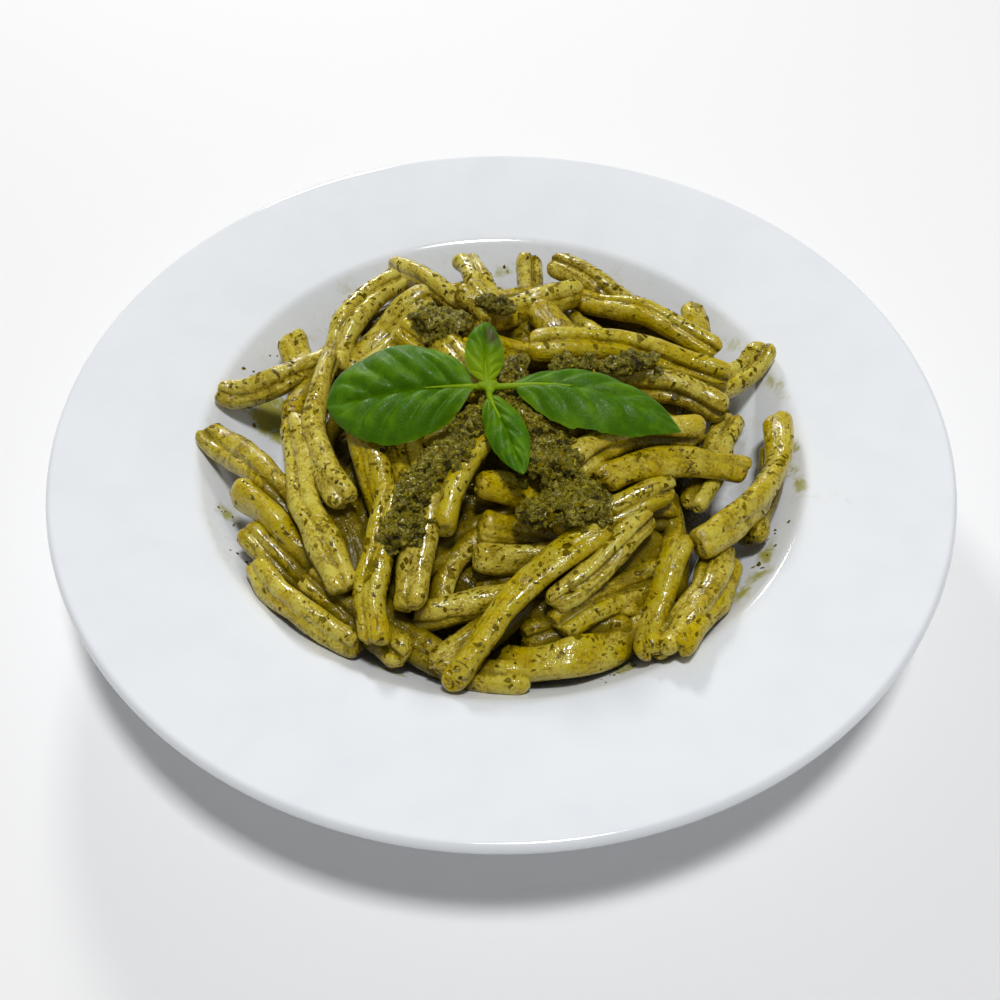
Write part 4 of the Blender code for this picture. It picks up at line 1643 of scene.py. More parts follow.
@dataclass
class HeapCore:
    """Dark pesto and pasta deep in the heap that closes it under the laid pieces, in the pesto's finish made
    darker as painted shade for the gaps. Sizes in mm.
    """

    radius: float = 64.0
    foot: float = 52.0
    shift: float = 7.0
    brow: float = 0.78
    depth: float = 12.5
    floor: float = 7.5
    skirt: float = 5.0
    lumps: tuple[tuple[float, float, int], ...] = (
        (1.6, 6.0, Pattern.CORE_LUMPS),
        (0.5, 2.2, Pattern.CORE_GRAIN),
    )
    segments: int = 96
    rings: int = 64
    shaded_tones: tuple[Colour, Colour, Colour] = (screen(44, 34, 0), screen(88, 74, 0), screen(120, 102, 8))
    fibre: float = 700.0
    gloss: float = 0.1

    def build(self, laying: Laying) -> Piece:
        """Shapes a ball into the core.

        Args:
            laying: The heap's sizes.

        Returns:
            The core.
        """
        deselect_all()
        bpy.ops.mesh.primitive_uv_sphere_add(
            segments=self.segments, ring_count=self.rings, radius=1.0, location=(0, 0, 0)
        )
        core = bpy.context.object
        core.name = "heap_core"
        ball = vertices(core)
        above = ball[:, 2] >= 0
        share = np.arccos(np.clip(np.abs(ball[:, 2]), 0, 1)) / (math.pi / 2)
        reach = np.where(above, self.radius * share, np.minimum(self.foot, self.radius * share))
        plan = unit(ball[:, :2]) * reach[:, None] - [0.0, self.shift]
        top = laying.dome(np.linalg.norm(plan, axis=1)) - self.depth
        beyond = np.clip(share - self.brow, 0, 1) / (1 - self.brow)
        low = self.floor + self.skirt
        height = low + (top - low) * np.sqrt(np.clip(1 - beyond**2, 0, 1))
        height = np.where(above, height, self.floor + self.skirt * np.clip((share - 0.8) / 0.2, 0, 1))
        points = np.column_stack([plan, height])
        rough = sum(rise * lattice_noise(points, size, seed) for rise, size, seed in self.lumps)
        points[:, 2] += np.where(above, rough * np.clip(1.2 - beyond, 0, 1), 0)
        move_vertices(core, points)
        smooth(core)
        # Painted shade: the pesto finish in darker colours, for the shade seen through the gaps.
        finish = PestoFinish("sauce_between_in_painted_shade", *self.shaded_tones, self.fibre, self.gloss)
        return dress(core, finish.make(), "pasta")


@dataclass
class PastaHeap:
    """The heap of casarecce. Sizes in mm, arcs in degrees."""

    laying: Laying
    form: StrandForm = field(default_factory=StrandForm)
    plain: StrandForm = field(default_factory=lambda: StrandForm(columns=16, spacing=3.0, cap_rings=(0.5,)))
    fair: StrandForm = field(
        default_factory=lambda: StrandForm(columns=30, spacing=1.8, cap_rings=(0.4, 0.75))
    )
    upper: int = 24
    middle: int = 27
    carriers: int = 40
    carrier_arc: tuple[float, float] = (12.0, 168.0)
    carrier_ring: tuple[float, float] = (56.0, 69.0)
    carrier_edge: float = 76.0
    carrier_drop: float = 17.0
    carrier_first: int = 300
    carrier_seed: int = 78
    hidden: int = 60
    hidden_radius: float = 66.0
    hidden_shift: float = 4.0
    hidden_edge: float = 74.0
    hidden_length: float = 42.0
    hidden_depth: float = 15.0
    # Painted shade for the pieces that show only through the gaps.
    hidden_shade: float = 0.9
    hidden_first: int = 200
    hidden_seed: int = 77
    merge: float = 0.001
    crease: float = 62.0
    # The sauce_and_shade value: pesto that varies from piece to piece, with painted shade added for the lower
    # layer, the hidden pieces and the crevices.
    sauce_and_shade: float = 0.35
    sauce_change: float = 0.3
    sauce_run: float = 2.4
    lower_layer_shade: float = 0.25
    cell: float = 1.0
    blur: float = 5.0
    shaded: float = 6.0
    kept_sauce: float = 0.35
    most_sauce_and_shade: float = 0.9

    def build(self) -> list[Piece]:
        """Lays and dresses all the pieces.

        Returns:
            The meshes of the pieces, those that show most first.
        """
        drafts = {layer: MeshDraft() for layer in Layer}
        shown = (Layer.UPPER, Layer.MIDDLE, Layer.LOWER)
        for number, strand in enumerate(LAID):
            layer = shown[(number >= self.upper) + (number >= self.upper + self.middle)]
            line, turn = self.laying.lay(strand)
            sauce_and_shade = self.sauce_and_shade + self.sauce_change * math.sin(number * self.sauce_run)
            # Painted shade: the lower layer is marked darker.
            sauce_and_shade += self.lower_layer_shade if layer is Layer.LOWER else 0.0
            self.form.add(drafts[layer], line, turn, number, sauce_and_shade)
        self.lay_carriers(drafts[Layer.HIDDEN])
        self.lay_hidden(drafts[Layer.HIDDEN])
        self.paint_crevice_shade(drafts)
        # The lower and hidden layers take a duller copy of the finish; their darker colour is painted shade.
        clean, shaded = PastaFinish().make(), PastaFinish("pasta_in_painted_shade", gloss=0.15, wet=0.3).make()
        made = []
        for layer, draft in drafts.items():
            piece = draft.make(layer.value)
            merge_close(piece, self.merge * MM)
            smooth(piece, self.crease)
            finish = shaded if layer in (Layer.LOWER, Layer.HIDDEN) else clean
            made.append(dress(piece, finish, "pasta", "pasta_heap"))
        HeapCore().build(self.laying)
        return made

    def ends(self, middle: Array, heading: float) -> list[Array]:
        """The two ends of a hidden piece with this middle and heading."""
        half = self.hidden_length / 2 * np.array([math.cos(heading), math.sin(heading)])
        return [middle - half, middle + half]

    def lay_carriers(self, draft: MeshDraft) -> None:
        """Lays the low pieces behind, which carry the far edge of the heap.

        Args:
            draft: The mesh that they are added to.
        """
        rng = np.random.default_rng(self.carrier_seed)
        for number in range(self.carriers):
            angle = math.radians(rng.uniform(*self.carrier_arc))
            middle = np.array([math.cos(angle), math.sin(angle)]) * rng.uniform(*self.carrier_ring)
            ends = self.ends(middle, angle + math.pi / 2 + rng.normal(0, 0.45))
            if max(np.hypot(*end) for end in ends) > self.carrier_edge or number % 5 == 4:
                ends = [middle * 0.45, middle * 1.08]
            strand = Strand(*ends, rng.uniform(-4, 4), rng.uniform(0, 90), rng.uniform(10, 60))
            line, turn = self.laying.lay(strand, self.carrier_drop)
            self.fair.add(draft, line, turn, self.carrier_first + number, 0.0)

    def lay_hidden(self, draft: MeshDraft) -> None:
        """Lays the pieces that show only through the gaps.

        Args:
            draft: The mesh that they are added to.
        """
        rng = np.random.default_rng(self.hidden_seed)
        self.laying.deepest = self.hidden_depth
        for number in range(self.hidden):
            angle, spread = rng.uniform(0, math.tau), math.sqrt(rng.uniform(0, 1)) * self.hidden_radius * 0.8
            middle = np.array([math.cos(angle), math.sin(angle)]) * spread - [0.0, self.hidden_shift]
            ends = self.ends(middle, rng.uniform(0, math.pi))
            if max(np.hypot(*end) for end in ends) <= self.hidden_edge:
                strand = Strand(*ends, rng.uniform(-3, 3), rng.uniform(0, 90), rng.uniform(10, 50))
                line, turn = self.laying.lay(strand)
                self.plain.add(draft, line, turn, self.hidden_first + number, self.hidden_shade)

    def cells(self, points: Array) -> tuple[Array, Array]:
        """The column and row of each point's cell in the map of the heap's top."""
        column, row = ((points[:, :2].T + self.laying.reach) / self.cell).astype(int)
        return column, row

    def paint_crevice_shade(self, drafts: dict[Layer, MeshDraft]) -> None:
        """Marks how deep each point lies below the blurred top of the heap, as painted shade that the finish
        darkens in the crevices.

        Args:
            drafts: The meshes of all the pieces.
        """
        points = np.concatenate([part for draft in drafts.values() for part in draft.points])
        cells = int(2 * self.laying.reach / self.cell)
        top = np.full((cells, cells), self.laying.edge_height - 8)
        np.maximum.at(top, self.cells(points), points[:, 2])
        apart = np.arange(-2 * self.blur, 2 * self.blur + self.cell, self.cell)
        kernel = np.exp(-((apart / self.blur) ** 2))
        kernel /= kernel.sum()
        for _ in range(2):
            top = np.apply_along_axis(np.convolve, 1, top, kernel, "same").T
        for draft in drafts.values():
            for part, looks in zip(draft.points, draft.looks):
                # Painted shade: the further a point lies below the top, the darker the finish paints it.
                depth = np.clip((top[self.cells(part)] - part[:, 2]) / self.shaded, 0, 1)
                looks[:, 2] = np.clip(self.kept_sauce * looks[:, 2] + depth, 0, self.most_sauce_and_shade)


class Surface:
    """The upper surface of finished pieces, to lay small things on. Places in mm."""

    level = 40.0
    away = 60.0

    def __init__(self, pieces: Sequence[Piece]) -> None:
        """Reads the meshes of the pieces.

        Args:
            pieces: The finished pieces.
        """
        points: list[tuple[float, ...]] = []
        faces: list[tuple[int, ...]] = []
        for piece in pieces:
            first = len(points)
            points += [tuple(vert.co / MM) for vert in piece.data.vertices]
            faces += [tuple(index + first for index in face.vertices) for face in piece.data.polygons]
        self.tree = BVHTree.FromPolygons(points, faces)

    def hit(self, x: float, y: float, lean: Sequence[float] = (0.0, 0.0)) -> tuple[Vector, Vector] | None:
        """Where a line from above first meets the surface.

        Args:
            x: Where it would meet the level of the upper pieces, across.
            y: Where it would meet that level, away.
            lean: How far it leans over for each mm that it falls.

        Returns:
            The place and the normal there, or None.
        """
        way = Vector((*lean, -1.0)).normalized()
        place, normal, _, _ = self.tree.ray_cast(Vector((x, y, self.level)) - way * self.away, way)
        if place is None:
            return None
        return place, normal if normal.dot(way) < 0 else -normal


# Pesto.


class Lump(NamedTuple):
    """One lump of pesto, in mm and degrees: its place in plan, half sizes and heading."""

    place: tuple[float, float]
    long: float
    wide: float
    high: float
    heading: float = 0.0

    def spot(self, angle: float, reach: float) -> tuple[float, float]:
        """A place on the lump.

        Args:
            angle: The angle round its middle, in radians.
            reach: The share of the way to its edge.

        Returns:
            The place in plan.
        """
        turn = math.radians(self.heading)
        along, across = reach * self.long * math.cos(angle), reach * self.wide * math.sin(angle)
        x = self.place[0] + along * math.cos(turn) - across * math.sin(turn)
        return x, self.place[1] + along * math.sin(turn) + across * math.cos(turn)


@dataclass
class Pesto:
    """Spoonfuls of pesto, each of lumps and many small clots that drape over the pasta. Sizes in mm."""

    laying: Laying
    under: Surface
    rise: float = 1.6
    voxel: float = 0.34
    shrink: float = 0.88
    clots_for_area: float = 0.55
    clot_sizes: tuple[float, float] = (0.9, 1.9)
    scraps: int = 2600
    scrap_sizes: tuple[float, float] = (0.3, 0.85)
    scrap_lean: float = 0.9
    scrap_tilt: float = 0.55
    scrap_reach: float = 1.15
    crease: float = 30.0
    seed: int = 19
    groups: dict[str, tuple[Lump, ...]] = field(
        default_factory=lambda: {
            "pesto_dollop": (
                Lump((-8, -18), 9.0, 5.4, 4.0, 57),
                Lump((-16, -29), 8.5, 6.2, 4.4, 48),
                Lump((-23, -38), 8.0, 5.6, 4.2, 50),
                Lump((-25, -48), 7.0, 5.2, 3.8, 20),
                Lump((-1, -12), 6.5, 4.5, 3.6, 0),
                Lump((7, -17), 9.0, 6.4, 4.4, -60),
                Lump((13, -29), 9.5, 8.0, 5.0, -50),
                Lump((19, -41), 10.5, 8.0, 5.0, -10),
                Lump((9, -45), 6.5, 4.6, 3.8, -10),
                Lump((3, -1), 10.5, 4.6, 3.8, 80),
            ),
            "pesto_clump_far_left": (Lump((-20, 26), 7.5, 5.2, 4.4, 10), Lump((-15, 22), 7.5, 6.0, 4.4, 40)),
            "pesto_clump_far": (Lump((-4, 34), 4.6, 3.0, 3.0, -5), Lump((1, 32), 3.8, 2.8, 2.8, 10)),
            "pesto_streak_right": (Lump((21, 5), 8.5, 3.0, 2.8, 0), Lump((36, 8), 10.0, 3.8, 3.4, 12)),
        }
    )

    def build(self) -> list[Piece]:
        """Makes every group of lumps.

        Returns:
            The finished pieces.
        """
        finish = PestoFinish().make()
        groups = {name: self.build_group(name, lumps) for name, lumps in self.groups.items()}
        return [dress(paste, finish, "pesto", name) for name, paste in groups.items()]

    def build_scraps(self, paste: Sequence[Piece]) -> Piece:
        """Strews chopped leaf over the paste, at all angles.

        Args:
            paste: The finished groups.

        Returns:
            The scraps.
        """
        rng = np.random.default_rng(self.seed)
        surface = Surface(paste)
        draft = MeshDraft()
        lumps = [lump for group in self.groups.values() for lump in group]
        sizes = np.array([lump.long * lump.wide for lump in lumps])
        for index in rng.choice(len(lumps), self.scraps, p=sizes / sizes.sum()):
            angle, reach = rng.uniform(0, math.tau), self.scrap_reach * math.sqrt(rng.uniform(0, 1))
            x, y = lumps[index].spot(angle, reach)
            met = surface.hit(x, y, rng.uniform(-self.scrap_lean, self.scrap_lean, 2))
            if met is not None:
                tilted = (met[1] + Vector(rng.normal(0, self.scrap_tilt, 3))).normalized()
                Flakes.flake(draft, met[0], tilted, float(rng.uniform(*self.scrap_sizes)), rng)
        scraps = draft.make("pesto_scraps")
        smooth(scraps, self.crease)
        finish = FlakeFinish("chopped_leaf", screen(62, 54, 0), screen(166, 154, 36))
        return dress(scraps, finish.make(), "pesto")

    def build_group(self, name: str, lumps: tuple[Lump, ...]) -> Piece:
        """Heaps balls into one rough paste.

        Args:
            name: The name of the CAD node that it replaces.
            lumps: Its lumps.

        Returns:
            The paste.
        """
        rng = np.random.default_rng(len(name))
        balls = []
        for lump in lumps:
            height = float(self.laying.dome(math.hypot(*lump.place))) + self.rise
            sizes = [size * self.shrink for size in (lump.long, lump.wide, lump.high)]
            balls.append(ball((*lump.place, height), sizes, lump.heading))
            balls += self.clots(lump, height, rng)
        paste = joined("paste_" + name.removeprefix("pesto_"), balls)
        self.remesh(paste)
        points = vertices(paste) / MM
        normals = np.array([tuple(vert.normal) for vert in paste.data.vertices])
        move_vertices(paste, points + normals * self.grain(points)[:, None])
        self.remesh(paste)
        smooth(paste)
        # How deep each point lies in a pit of the grain, for the finish to paint as shade in pits and light
        # on rises.
        hollow = np.clip(0.5 - 0.5 * self.grain(vertices(paste) / MM), 0, 1)
        write_looks(paste, np.column_stack([hollow, *np.zeros((3, len(hollow)))]))
        return paste

    def remesh(self, paste: Piece) -> None:
        """Gives the paste one closed, even surface."""
        apply_modifier(paste, "REMESH", mode="VOXEL", voxel_size=self.voxel * MM, adaptivity=0.0)

    def clots(self, lump: Lump, height: float, rng: Draw) -> list[Piece]:
        """Small clots over and round one lump, which drape down to the pasta.

        Args:
            lump: The lump.
            height: The height of its middle.
            rng: The draw.

        Returns:
            The clots, as objects.
        """
        made = []
        for _ in range(int(self.clots_for_area * lump.long * lump.wide)):
            angle, reach = rng.uniform(0, math.tau), math.sqrt(rng.uniform(0.02, 1.25))
            x, y = lump.spot(angle, reach)
            size = rng.uniform(*self.clot_sizes)
            bulge = lump.high * self.shrink * math.sqrt(max(1 - min(reach, 1.0) ** 2, 0.0))
            met = self.under.hit(x, y)
            ground = met[0].z if met else height - lump.high
            if reach > 0.85 and ground < height - 1.6 * lump.high:
                continue
            top = ground + 0.25 * size
            if reach < 0.95:
                top = max(ground + 0.2 * size, height + bulge - 0.35 * size)
            stretch = rng.uniform(0.7, 1.4, 3) * size * self.shrink
            made.append(ball((x, y, top), stretch, rng.uniform(0, 180), 2))
        return made

    @staticmethod
    def grain(points: Array) -> Array:
        """How far grains and fibres rise.

        Args:
            points: The points, in mm.

        Returns:
            The rise at each, in mm.
        """
        fibres = (Pattern.FIBRES_ACROSS, Pattern.FIBRES_AWAY, Pattern.FIBRES_UP)
        bent = points + 0.8 * np.column_stack([lattice_noise(points, 2.6, pattern) for pattern in fibres])
        crumbs = ((0.55, 1.7, Pattern.CRUMBS), (0.4, 1.05, Pattern.FINE_CRUMBS))
        rough = sum(rise * (1 - 3 * np.abs(lattice_noise(bent, size, seed))) for rise, size, seed in crumbs)
        return rough + 0.6 * lattice_noise(points, 3.6, Pattern.HEAPING) - 0.2


# Basil.


class Leaf(NamedTuple):
    """One basil leaf: its base, length and width in mm, and its angles in degrees.

    Its axis sets out at heading and pitch and turns by sweep and droop. Tilt turns the blade about its
    axis, fold lowers both edges from the midrib, dome puffs up each half, and wave ripples the edges. A
    higher taper gives a sharper tip. It has so many veins a side, puffs up between them by pucker in mm,
    and is young and yellow near its stalk, and bruised near its tip, by shares.
    """

    base: Place
    length: float
    width: float
    heading: float
    sweep: float
    pitch: float
    droop: float
    tilt: float
    fold: float
    dome: float
    wave: float
    taper: float
    veins: float
    pucker: float
    youth: float
    bruised: float = 0.0


@dataclass
class Sprig:
    """The sprig of basil: four leaves on short stalks from one node. Sizes in mm."""

    node: Place = (-3.5, -9.4, 56.5)
    thickness: float = 0.42
    cells: tuple[int, int] = (84, 52)
    steps: int = 16
    edge_gap: float = 0.00002
    crease: float = 75.0
    stalk_places: tuple[float, ...] = (0.0, 0.06, 0.12, 0.2, 0.32)
    stalk_drops: tuple[float, ...] = (0.35, 0.45, 0.5, 0.5, 0.45)
    stalk_radii: tuple[float, ...] = (1.05, 0.9, 0.8, 0.65, 0.5, 0.3)
    knobs: tuple[Place, ...] = (
        (0, 0, 0),
        (-1.6, 0.5, 0.3),
        (1.2, 0.9, 0.5),
        (0.4, -1.4, 0.2),
        (-0.6, 1.3, 0.9),
    )
    knob_sizes: tuple[float, float] = (1.0, 1.4)
    knob_form: Place = (1.2, 1.0, 0.8)
    stem_voxel: float = 0.2
    stem_looks: tuple[float, ...] = (0.2, 0.75, 0.0, 0.0)
    seed: int = 5
    leaves: dict[str, Leaf] = field(
        default_factory=lambda: {
            "leaf_left": Leaf(
                (-7.9, -9.0, 56.5), 41.5, 31, 176, 12, -1, 18, -14, 0.07, 0.12, 0.5, 0.58, 5.0, 2.1, 0.25
            ),
            "leaf_right": Leaf(
                (3.7, -8.5, 56.3), 49, 24.5, -1, -23, 13, 45, -7, 0.33, 0.14, 0.5, 0.81, 5.0, 1.5, 0.25
            ),
            "leaf_far": Leaf(
                (-4.0, -8.4, 57.6), 18, 11.2, 95, -8, 27, 10, 10, 0.16, 0.14, 0.3, 0.69, 4.5, 0.85, 1.0, 1.0
            ),
            "leaf_near": Leaf(
                (-3.4, -12.7, 56.3), 28.5, 10.8, -70, -3, 7, 16, 14, 0.18, 0.14, 0.4, 0.74, 4.5, 0.9, 0.4
            ),
        }
    )

    @staticmethod
    def half_width(leaf: Leaf, along: Array) -> Array:
        """Half the width of a leaf, widest nearer its stalk the higher its taper.

        Args:
            leaf: The leaf.
            along: Shares of its length.

        Returns:
            The half widths.
        """
        widest = 0.6 / (0.6 + leaf.taper)
        peak = widest**0.6 * (1 - widest) ** leaf.taper
        return leaf.width / 2 * along**0.6 * (1 - along) ** leaf.taper / peak

    def axis(self, leaf: Leaf, along: Array) -> tuple[Array, Array, Array]:
        """The leaf's axis at shares of its length.

        Args:
            leaf: The leaf.
            along: Shares of its length.

        Returns:
            The places, the directions across and the directions up.
        """

        def ahead(share: Array) -> tuple[Array, Array]:
            """Where the axis heads.

            Args:
                share: Shares of its length.

            Returns:
                The directions, and the headings alone.
            """
            heading = np.radians(leaf.heading + leaf.sweep * share)
            pitch = np.radians(leaf.pitch - leaf.droop * share)
            flat = np.cos(pitch)
            return np.stack([flat * np.cos(heading), flat * np.sin(heading), np.sin(pitch)], axis=-1), heading

        step, _ = ahead((np.arange(self.steps) + 0.5) / self.steps * along[:, None])
        place = np.array(leaf.base) + (step * (leaf.length * along / self.steps)[:, None, None]).sum(axis=1)
        way, heading = ahead(along)
        side = np.stack([-np.sin(heading), np.cos(heading), np.zeros_like(heading)], axis=-1)
        up = np.cross(way, side)
        c, s = math.cos(math.radians(leaf.tilt)), math.sin(math.radians(leaf.tilt))
        return place, side * c + up * s, up * c - side * s

    def blade(self, leaf: Leaf, along: Array, across: Array) -> tuple[Array, Array]:
        """Points of a leaf's blade.

        Args:
            leaf: The leaf.
            along: Shares of its length.
            across: Shares of its half width, left and right of the midrib.

        Returns:
            The points in mm, and how near each is to a vein, from 0 to 1.
        """
        place, side, up = self.axis(leaf, along)
        half, edge, left = self.half_width(leaf, along), np.abs(across), across > 0
        midrib = edge * half
        rise = half * (4 * leaf.dome * edge * (1 - edge) - leaf.fold * edge)
        rise += leaf.wave * edge**2 * np.sin(2 * math.pi * (2.5 * along + np.where(left, 0.25, 0.0)))
        wander = 0.10 * noise_at(along * 5, across * 2, leaf.length, 1.0, Pattern.VEINS)
        phase = (along * 1.06 - 0.30 * edge**0.8 + wander * edge) * leaf.veins + np.where(left, 0.0, 0.45)
        apart = np.abs(phase - np.round(phase))
        fade = np.clip((along - 0.05) / 0.1, 0, 1) * np.clip((0.97 - along) / 0.2, 0, 1)
        puff = np.sin(math.pi * np.clip(apart, 0, 0.5)) ** 0.7
        puff *= np.sin(math.pi * np.clip(edge, 0, 1) ** 0.7) ** 0.8
        rise += leaf.pucker * (puff - 0.45) * fade
        minor = noise_at(along * leaf.length, across * half, 3.0, 2.4, Pattern.CREASES)
        rise += 0.06 * leaf.pucker * minor * fade * np.clip(edge * 4, 0, 1)
        rise -= 0.35 * np.exp(-((midrib / 0.7) ** 2)) * np.clip(1 - along, 0, 1)
        branch = 0.75 * np.exp(-((apart / 0.07) ** 2)) * np.clip(1.25 - edge, 0, 1) * fade
        vein = np.maximum(np.exp(-((midrib / 0.42) ** 2)), branch)
        return place + side * (half * across)[:, None] + up * rise[:, None], vein

    def build(self) -> list[Piece]:
        """Makes the leaves and the stem.

        Returns:
            The finished pieces.
        """
        finish = LeafFinish().make()
        made = [self.build_leaf(name, leaf) for name, leaf in self.leaves.items()]
        return [dress(piece, finish, "basil", "basil_sprig") for piece in (*made, self.build_stem())]

    def build_leaf(self, name: str, leaf: Leaf) -> Piece:
        """Shapes a grid into one leaf and gives it its thickness.

        Args:
            name: The leaf's name.
            leaf: Its sizes.

        Returns:
            The leaf.
        """
        deselect_all()
        bpy.ops.mesh.primitive_grid_add(
            x_subdivisions=self.cells[0], y_subdivisions=self.cells[1], size=2.0, location=(0, 0, 0)
        )
        made = bpy.context.object
        made.name = name
        flat = vertices(made)
        along = 0.5 - 0.5 * np.cos(math.pi * (flat[:, 0] + 1) / 2)
        across = np.sin(flat[:, 1] * math.pi / 2 * 0.999)
        notch = 1 + 0.022 * noise_at(along * leaf.length, across * 3, 0, 1.5, Pattern.NOTCHES)
        points, vein = self.blade(leaf, along, across * notch)
        move_vertices(made, points)
        youth = np.clip(leaf.youth * (1 - along / (0.3 + 0.6 * leaf.youth)), 0, 1)
        youth += 0.25 * np.clip((np.abs(across) - 0.9) / 0.1, 0, 1)
        spot = np.hypot((along - 0.78) * leaf.length / 3.4, (across + 0.35) * leaf.width / 2 / 2.4)
        bruise = leaf.bruised * np.clip(1.3 - spot, 0, 1)
        write_looks(made, np.column_stack([vein, youth, np.zeros_like(vein), bruise]))
        merge_close(made, self.edge_gap)
        if sum(face.normal.z * face.area for face in made.data.polygons) < 0:
            made.data.flip_normals()
        count = len(made.data.vertices)
        apply_modifier(made, "SOLIDIFY", thickness=self.thickness * MM, offset=-1.0)
        self.mark_underside(made, count)
        smooth(made, self.crease)
        return made

    @staticmethod
    def mark_underside(made: Piece, count: int) -> None:
        """Marks the lower of a thickened leaf's two shells.

        Args:
            made: The leaf.
            count: How many vertices the first shell has.
        """
        values = made.data.attributes[LOOKS].data
        colours = np.zeros(len(values) * 4, np.float32)
        values.foreach_get("color", colours)
        colours = colours.reshape(-1, 4)
        normals = np.array([vert.normal.z for vert in made.data.vertices])
        second = np.arange(len(colours)) >= count
        lower = second if normals[second].mean() < normals[~second].mean() else ~second
        colours[lower, 2] = 1.0
        values.foreach_set("color", colours.ravel())

    def build_stem(self) -> Piece:
        """Models the stalks and the knobbly node as one piece.

        Returns:
            The stem.
        """
        parts = []
        for leaf in self.leaves.values():
            place, _, up = self.axis(leaf, np.array(self.stalk_places))
            line = [np.array(self.node), *(place - up * np.array(self.stalk_drops)[:, None])]
            parts.append(self.stalk(line, self.stalk_radii))
        rng = np.random.default_rng(self.seed)
        for spread in self.knobs:
            size = rng.uniform(*self.knob_sizes)
            sizes = [size * share for share in self.knob_form]
            parts.append(ball(Vector(self.node) + Vector(spread), sizes))
        stem = joined("basil_stem", parts)
        apply_modifier(stem, "REMESH", mode="VOXEL", voxel_size=self.stem_voxel * MM)
        apply_modifier(stem, "SMOOTH", iterations=4, factor=0.6)
        smooth(stem)
        write_looks(stem, np.tile(self.stem_looks, (len(stem.data.vertices), 1)))
        return stem

    @staticmethod
    def stalk(line: Sequence[Sequence[float]], radii: Sequence[float]) -> Piece:
        """A round tapering stalk along a line in mm.

        Args:
            line: Points along it.
            radii: Its radius at each.

        Returns:
            The stalk as a mesh.
        """
        data = bpy.data.curves.new("stalk", "CURVE")
        data.dimensions = "3D"
        data.bevel_depth = 1.0
        data.bevel_resolution = 4
        data.resolution_u = 6
        data.use_fill_caps = True
        spline = data.splines.new("NURBS")
        spline.points.add(len(line) - 1)
        for point, place, radius in zip(spline.points, line, radii):
            point.co = (*(Vector(place) * MM), 1.0)
            point.radius = radius * MM
        spline.use_endpoint_u = True
        made = bpy.data.objects.new("stalk", data)
        bpy.context.scene.collection.objects.link(made)
        select_only(made)
        bpy.ops.object.convert(target="MESH")
        return bpy.context.object


# Herb flakes.


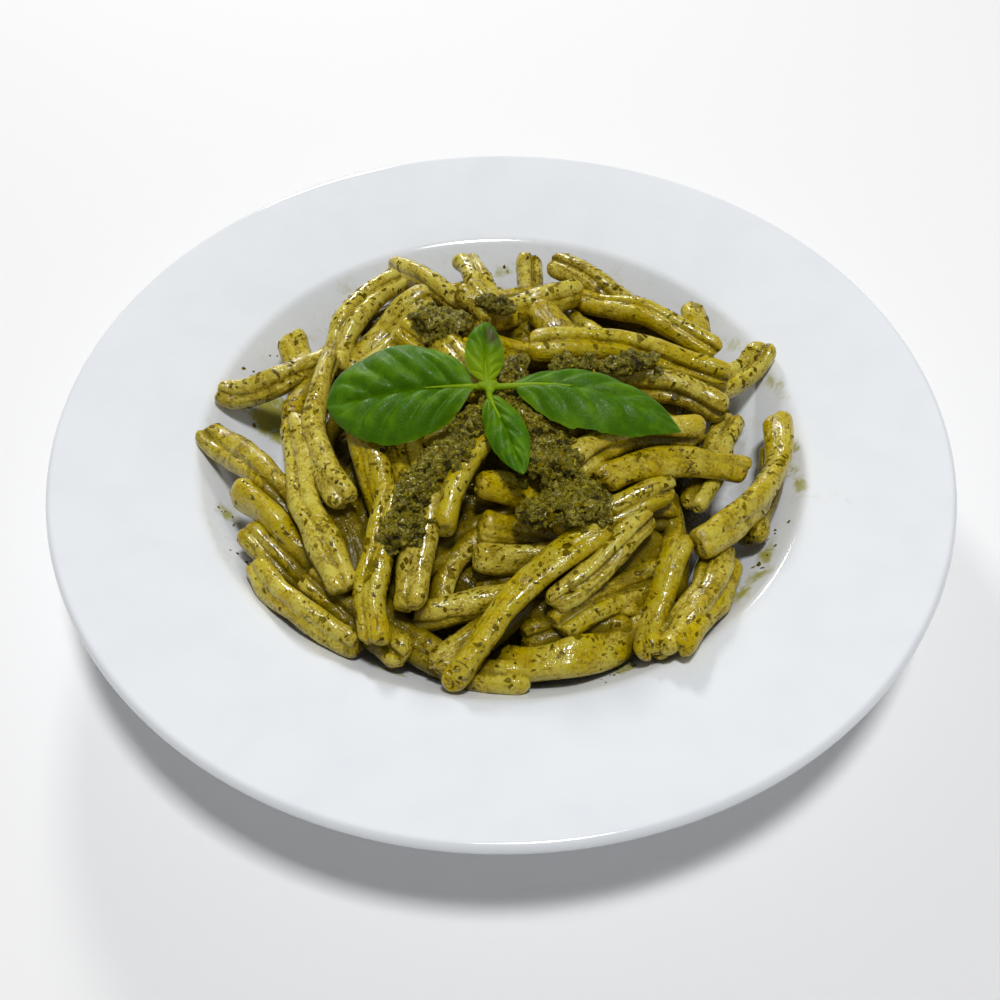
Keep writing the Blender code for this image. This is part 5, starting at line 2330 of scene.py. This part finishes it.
@dataclass
class Flakes:
    """Chopped herb flakes on the pasta and on the plate. Sizes in mm."""

    on_pasta: int = 7000
    sizes: tuple[float, ...] = (0.3, 0.5, 0.8, 1.15, 1.6)
    shares: tuple[float, ...] = (0.16, 0.28, 0.3, 0.2, 0.06)
    spread: float = 92.0
    lean: float = 0.8
    cluster: float = 6.5
    clear: tuple[float, float] = (-0.4, 0.5)
    scatter: float = 1.6
    crease: float = 30.0
    seed: int = 11
    strays: tuple[Place, ...] = (
        (-81, -25, 1.8), (-79, -28, 2.2), (-77, -31, 1.6), (-74, -41, 1.2), (-72, -45, 1.3),
        (-77, 11, 2.0), (-81, 29, 1.4), (-74, 37, 1.2), (1, 82, 1.8), (81, -32, 1.3),
        (79, -35, 1.1), (76, -36, 1.6), (75, -39, 1.9), (73, -44, 2.0), (71, -46, 1.7),
        (57, -63, 1.8), (33, -77, 2.0), (31, -78, 1.6), (28, -81, 1.4), (25, -83, 0.8),
    )

    @staticmethod
    def flake(draft: MeshDraft, place: Vector, normal: Vector, size: float, rng: Draw) -> None:
        """Adds one flake, a small bent scrap that lies on a surface.

        Args:
            draft: The mesh that it goes in.
            place: Where it lies.
            normal: The surface's normal there.
            size: Its half length.
            rng: The draw.
        """
        side = normal.orthogonal().normalized()
        turn = rng.uniform(0, math.tau)
        along = side * math.cos(turn) + normal.cross(side) * math.sin(turn)
        across = normal.cross(along)
        corners = int(rng.integers(4, 8))
        slim = rng.uniform(0.3, 0.85)
        top, low = [], []
        for i in range(corners):
            angle = math.tau * (i + rng.uniform(-0.3, 0.3)) / corners
            reach = size * rng.uniform(0.5, 1.15)
            x, y = reach * math.cos(angle), slim * reach * math.sin(angle)
            lift = 0.04 + rng.uniform(0, 0.12)
            spot = place + along * x + across * y - normal * (0.05 * (x * x + y * y))
            top.append(tuple(spot + normal * lift))
            low.append(tuple(spot - normal * 0.25))
        middle = tuple(place + normal * rng.uniform(0.12, 0.25))
        points = np.array([middle, *top, *low])
        faces = []
        for i in range(corners):
            k = (i + 1) % corners
            faces += [(0, 1 + i, 1 + k), (1 + i, 1 + corners + i, 1 + corners + k, 1 + k)]
        faces.append(tuple(range(2 * corners, corners, -1)))
        texture = [(0.0, 0.0)] * sum(len(face) for face in faces)
        draft.add(points, faces, texture, np.full((len(points), 4), rng.uniform(0, 1)))

    def build(self, pasta: Surface, plate: Surface) -> list[Piece]:
        """Scatters the flakes.

        Args:
            pasta: The surface of the pasta and the pesto.
            plate: The surface of the plate.

        Returns:
            The finished pieces.
        """
        rng = np.random.default_rng(self.seed)
        scattered, loose = MeshDraft(), MeshDraft()
        for _ in range(self.on_pasta):
            angle, reach = rng.uniform(0, math.tau), self.spread * math.sqrt(rng.uniform(0, 1))
            lean = rng.uniform(-self.lean, self.lean, 2)
            met = pasta.hit(reach * math.cos(angle), reach * math.sin(angle), lean)
            if met is None:
                continue
            if noise_at(*met[0], self.cluster, Pattern.CLUSTERS)[0] < rng.uniform(*self.clear):
                continue
            self.flake(scattered, *met, float(rng.choice(self.sizes, p=self.shares)), rng)
        for x, y, size in self.strays:
            for _ in range(2):
                met = plate.hit(*(np.array([x, y]) + rng.uniform(-self.scatter, self.scatter, 2)))
                if met is not None:
                    self.flake(loose, *met, size * rng.uniform(0.3, 0.7), rng)
        finish = FlakeFinish().make()
        made = [scattered.make("flakes_on_pasta"), loose.make("flakes_on_plate")]
        for piece in made:
            smooth(piece, self.crease)
            dress(piece, finish, "pesto")
        return made


def main() -> None:
    """Builds the studio and every piece in order."""
    logging.basicConfig(level=logging.INFO, format="%(message)s")
    Studio().build()
    plate = Plate()
    glazed = plate.build()
    laying = Laying(plate)
    pasta = PastaHeap(laying).build()
    spoonfuls = Pesto(laying, Surface(pasta))
    pesto = spoonfuls.build()
    spoonfuls.build_scraps(pesto)
    Sprig().build()
    Flakes().build(Surface(pasta + pesto), Surface([glazed]))
    deselect_all()


if __name__ == "__main__":
    main()
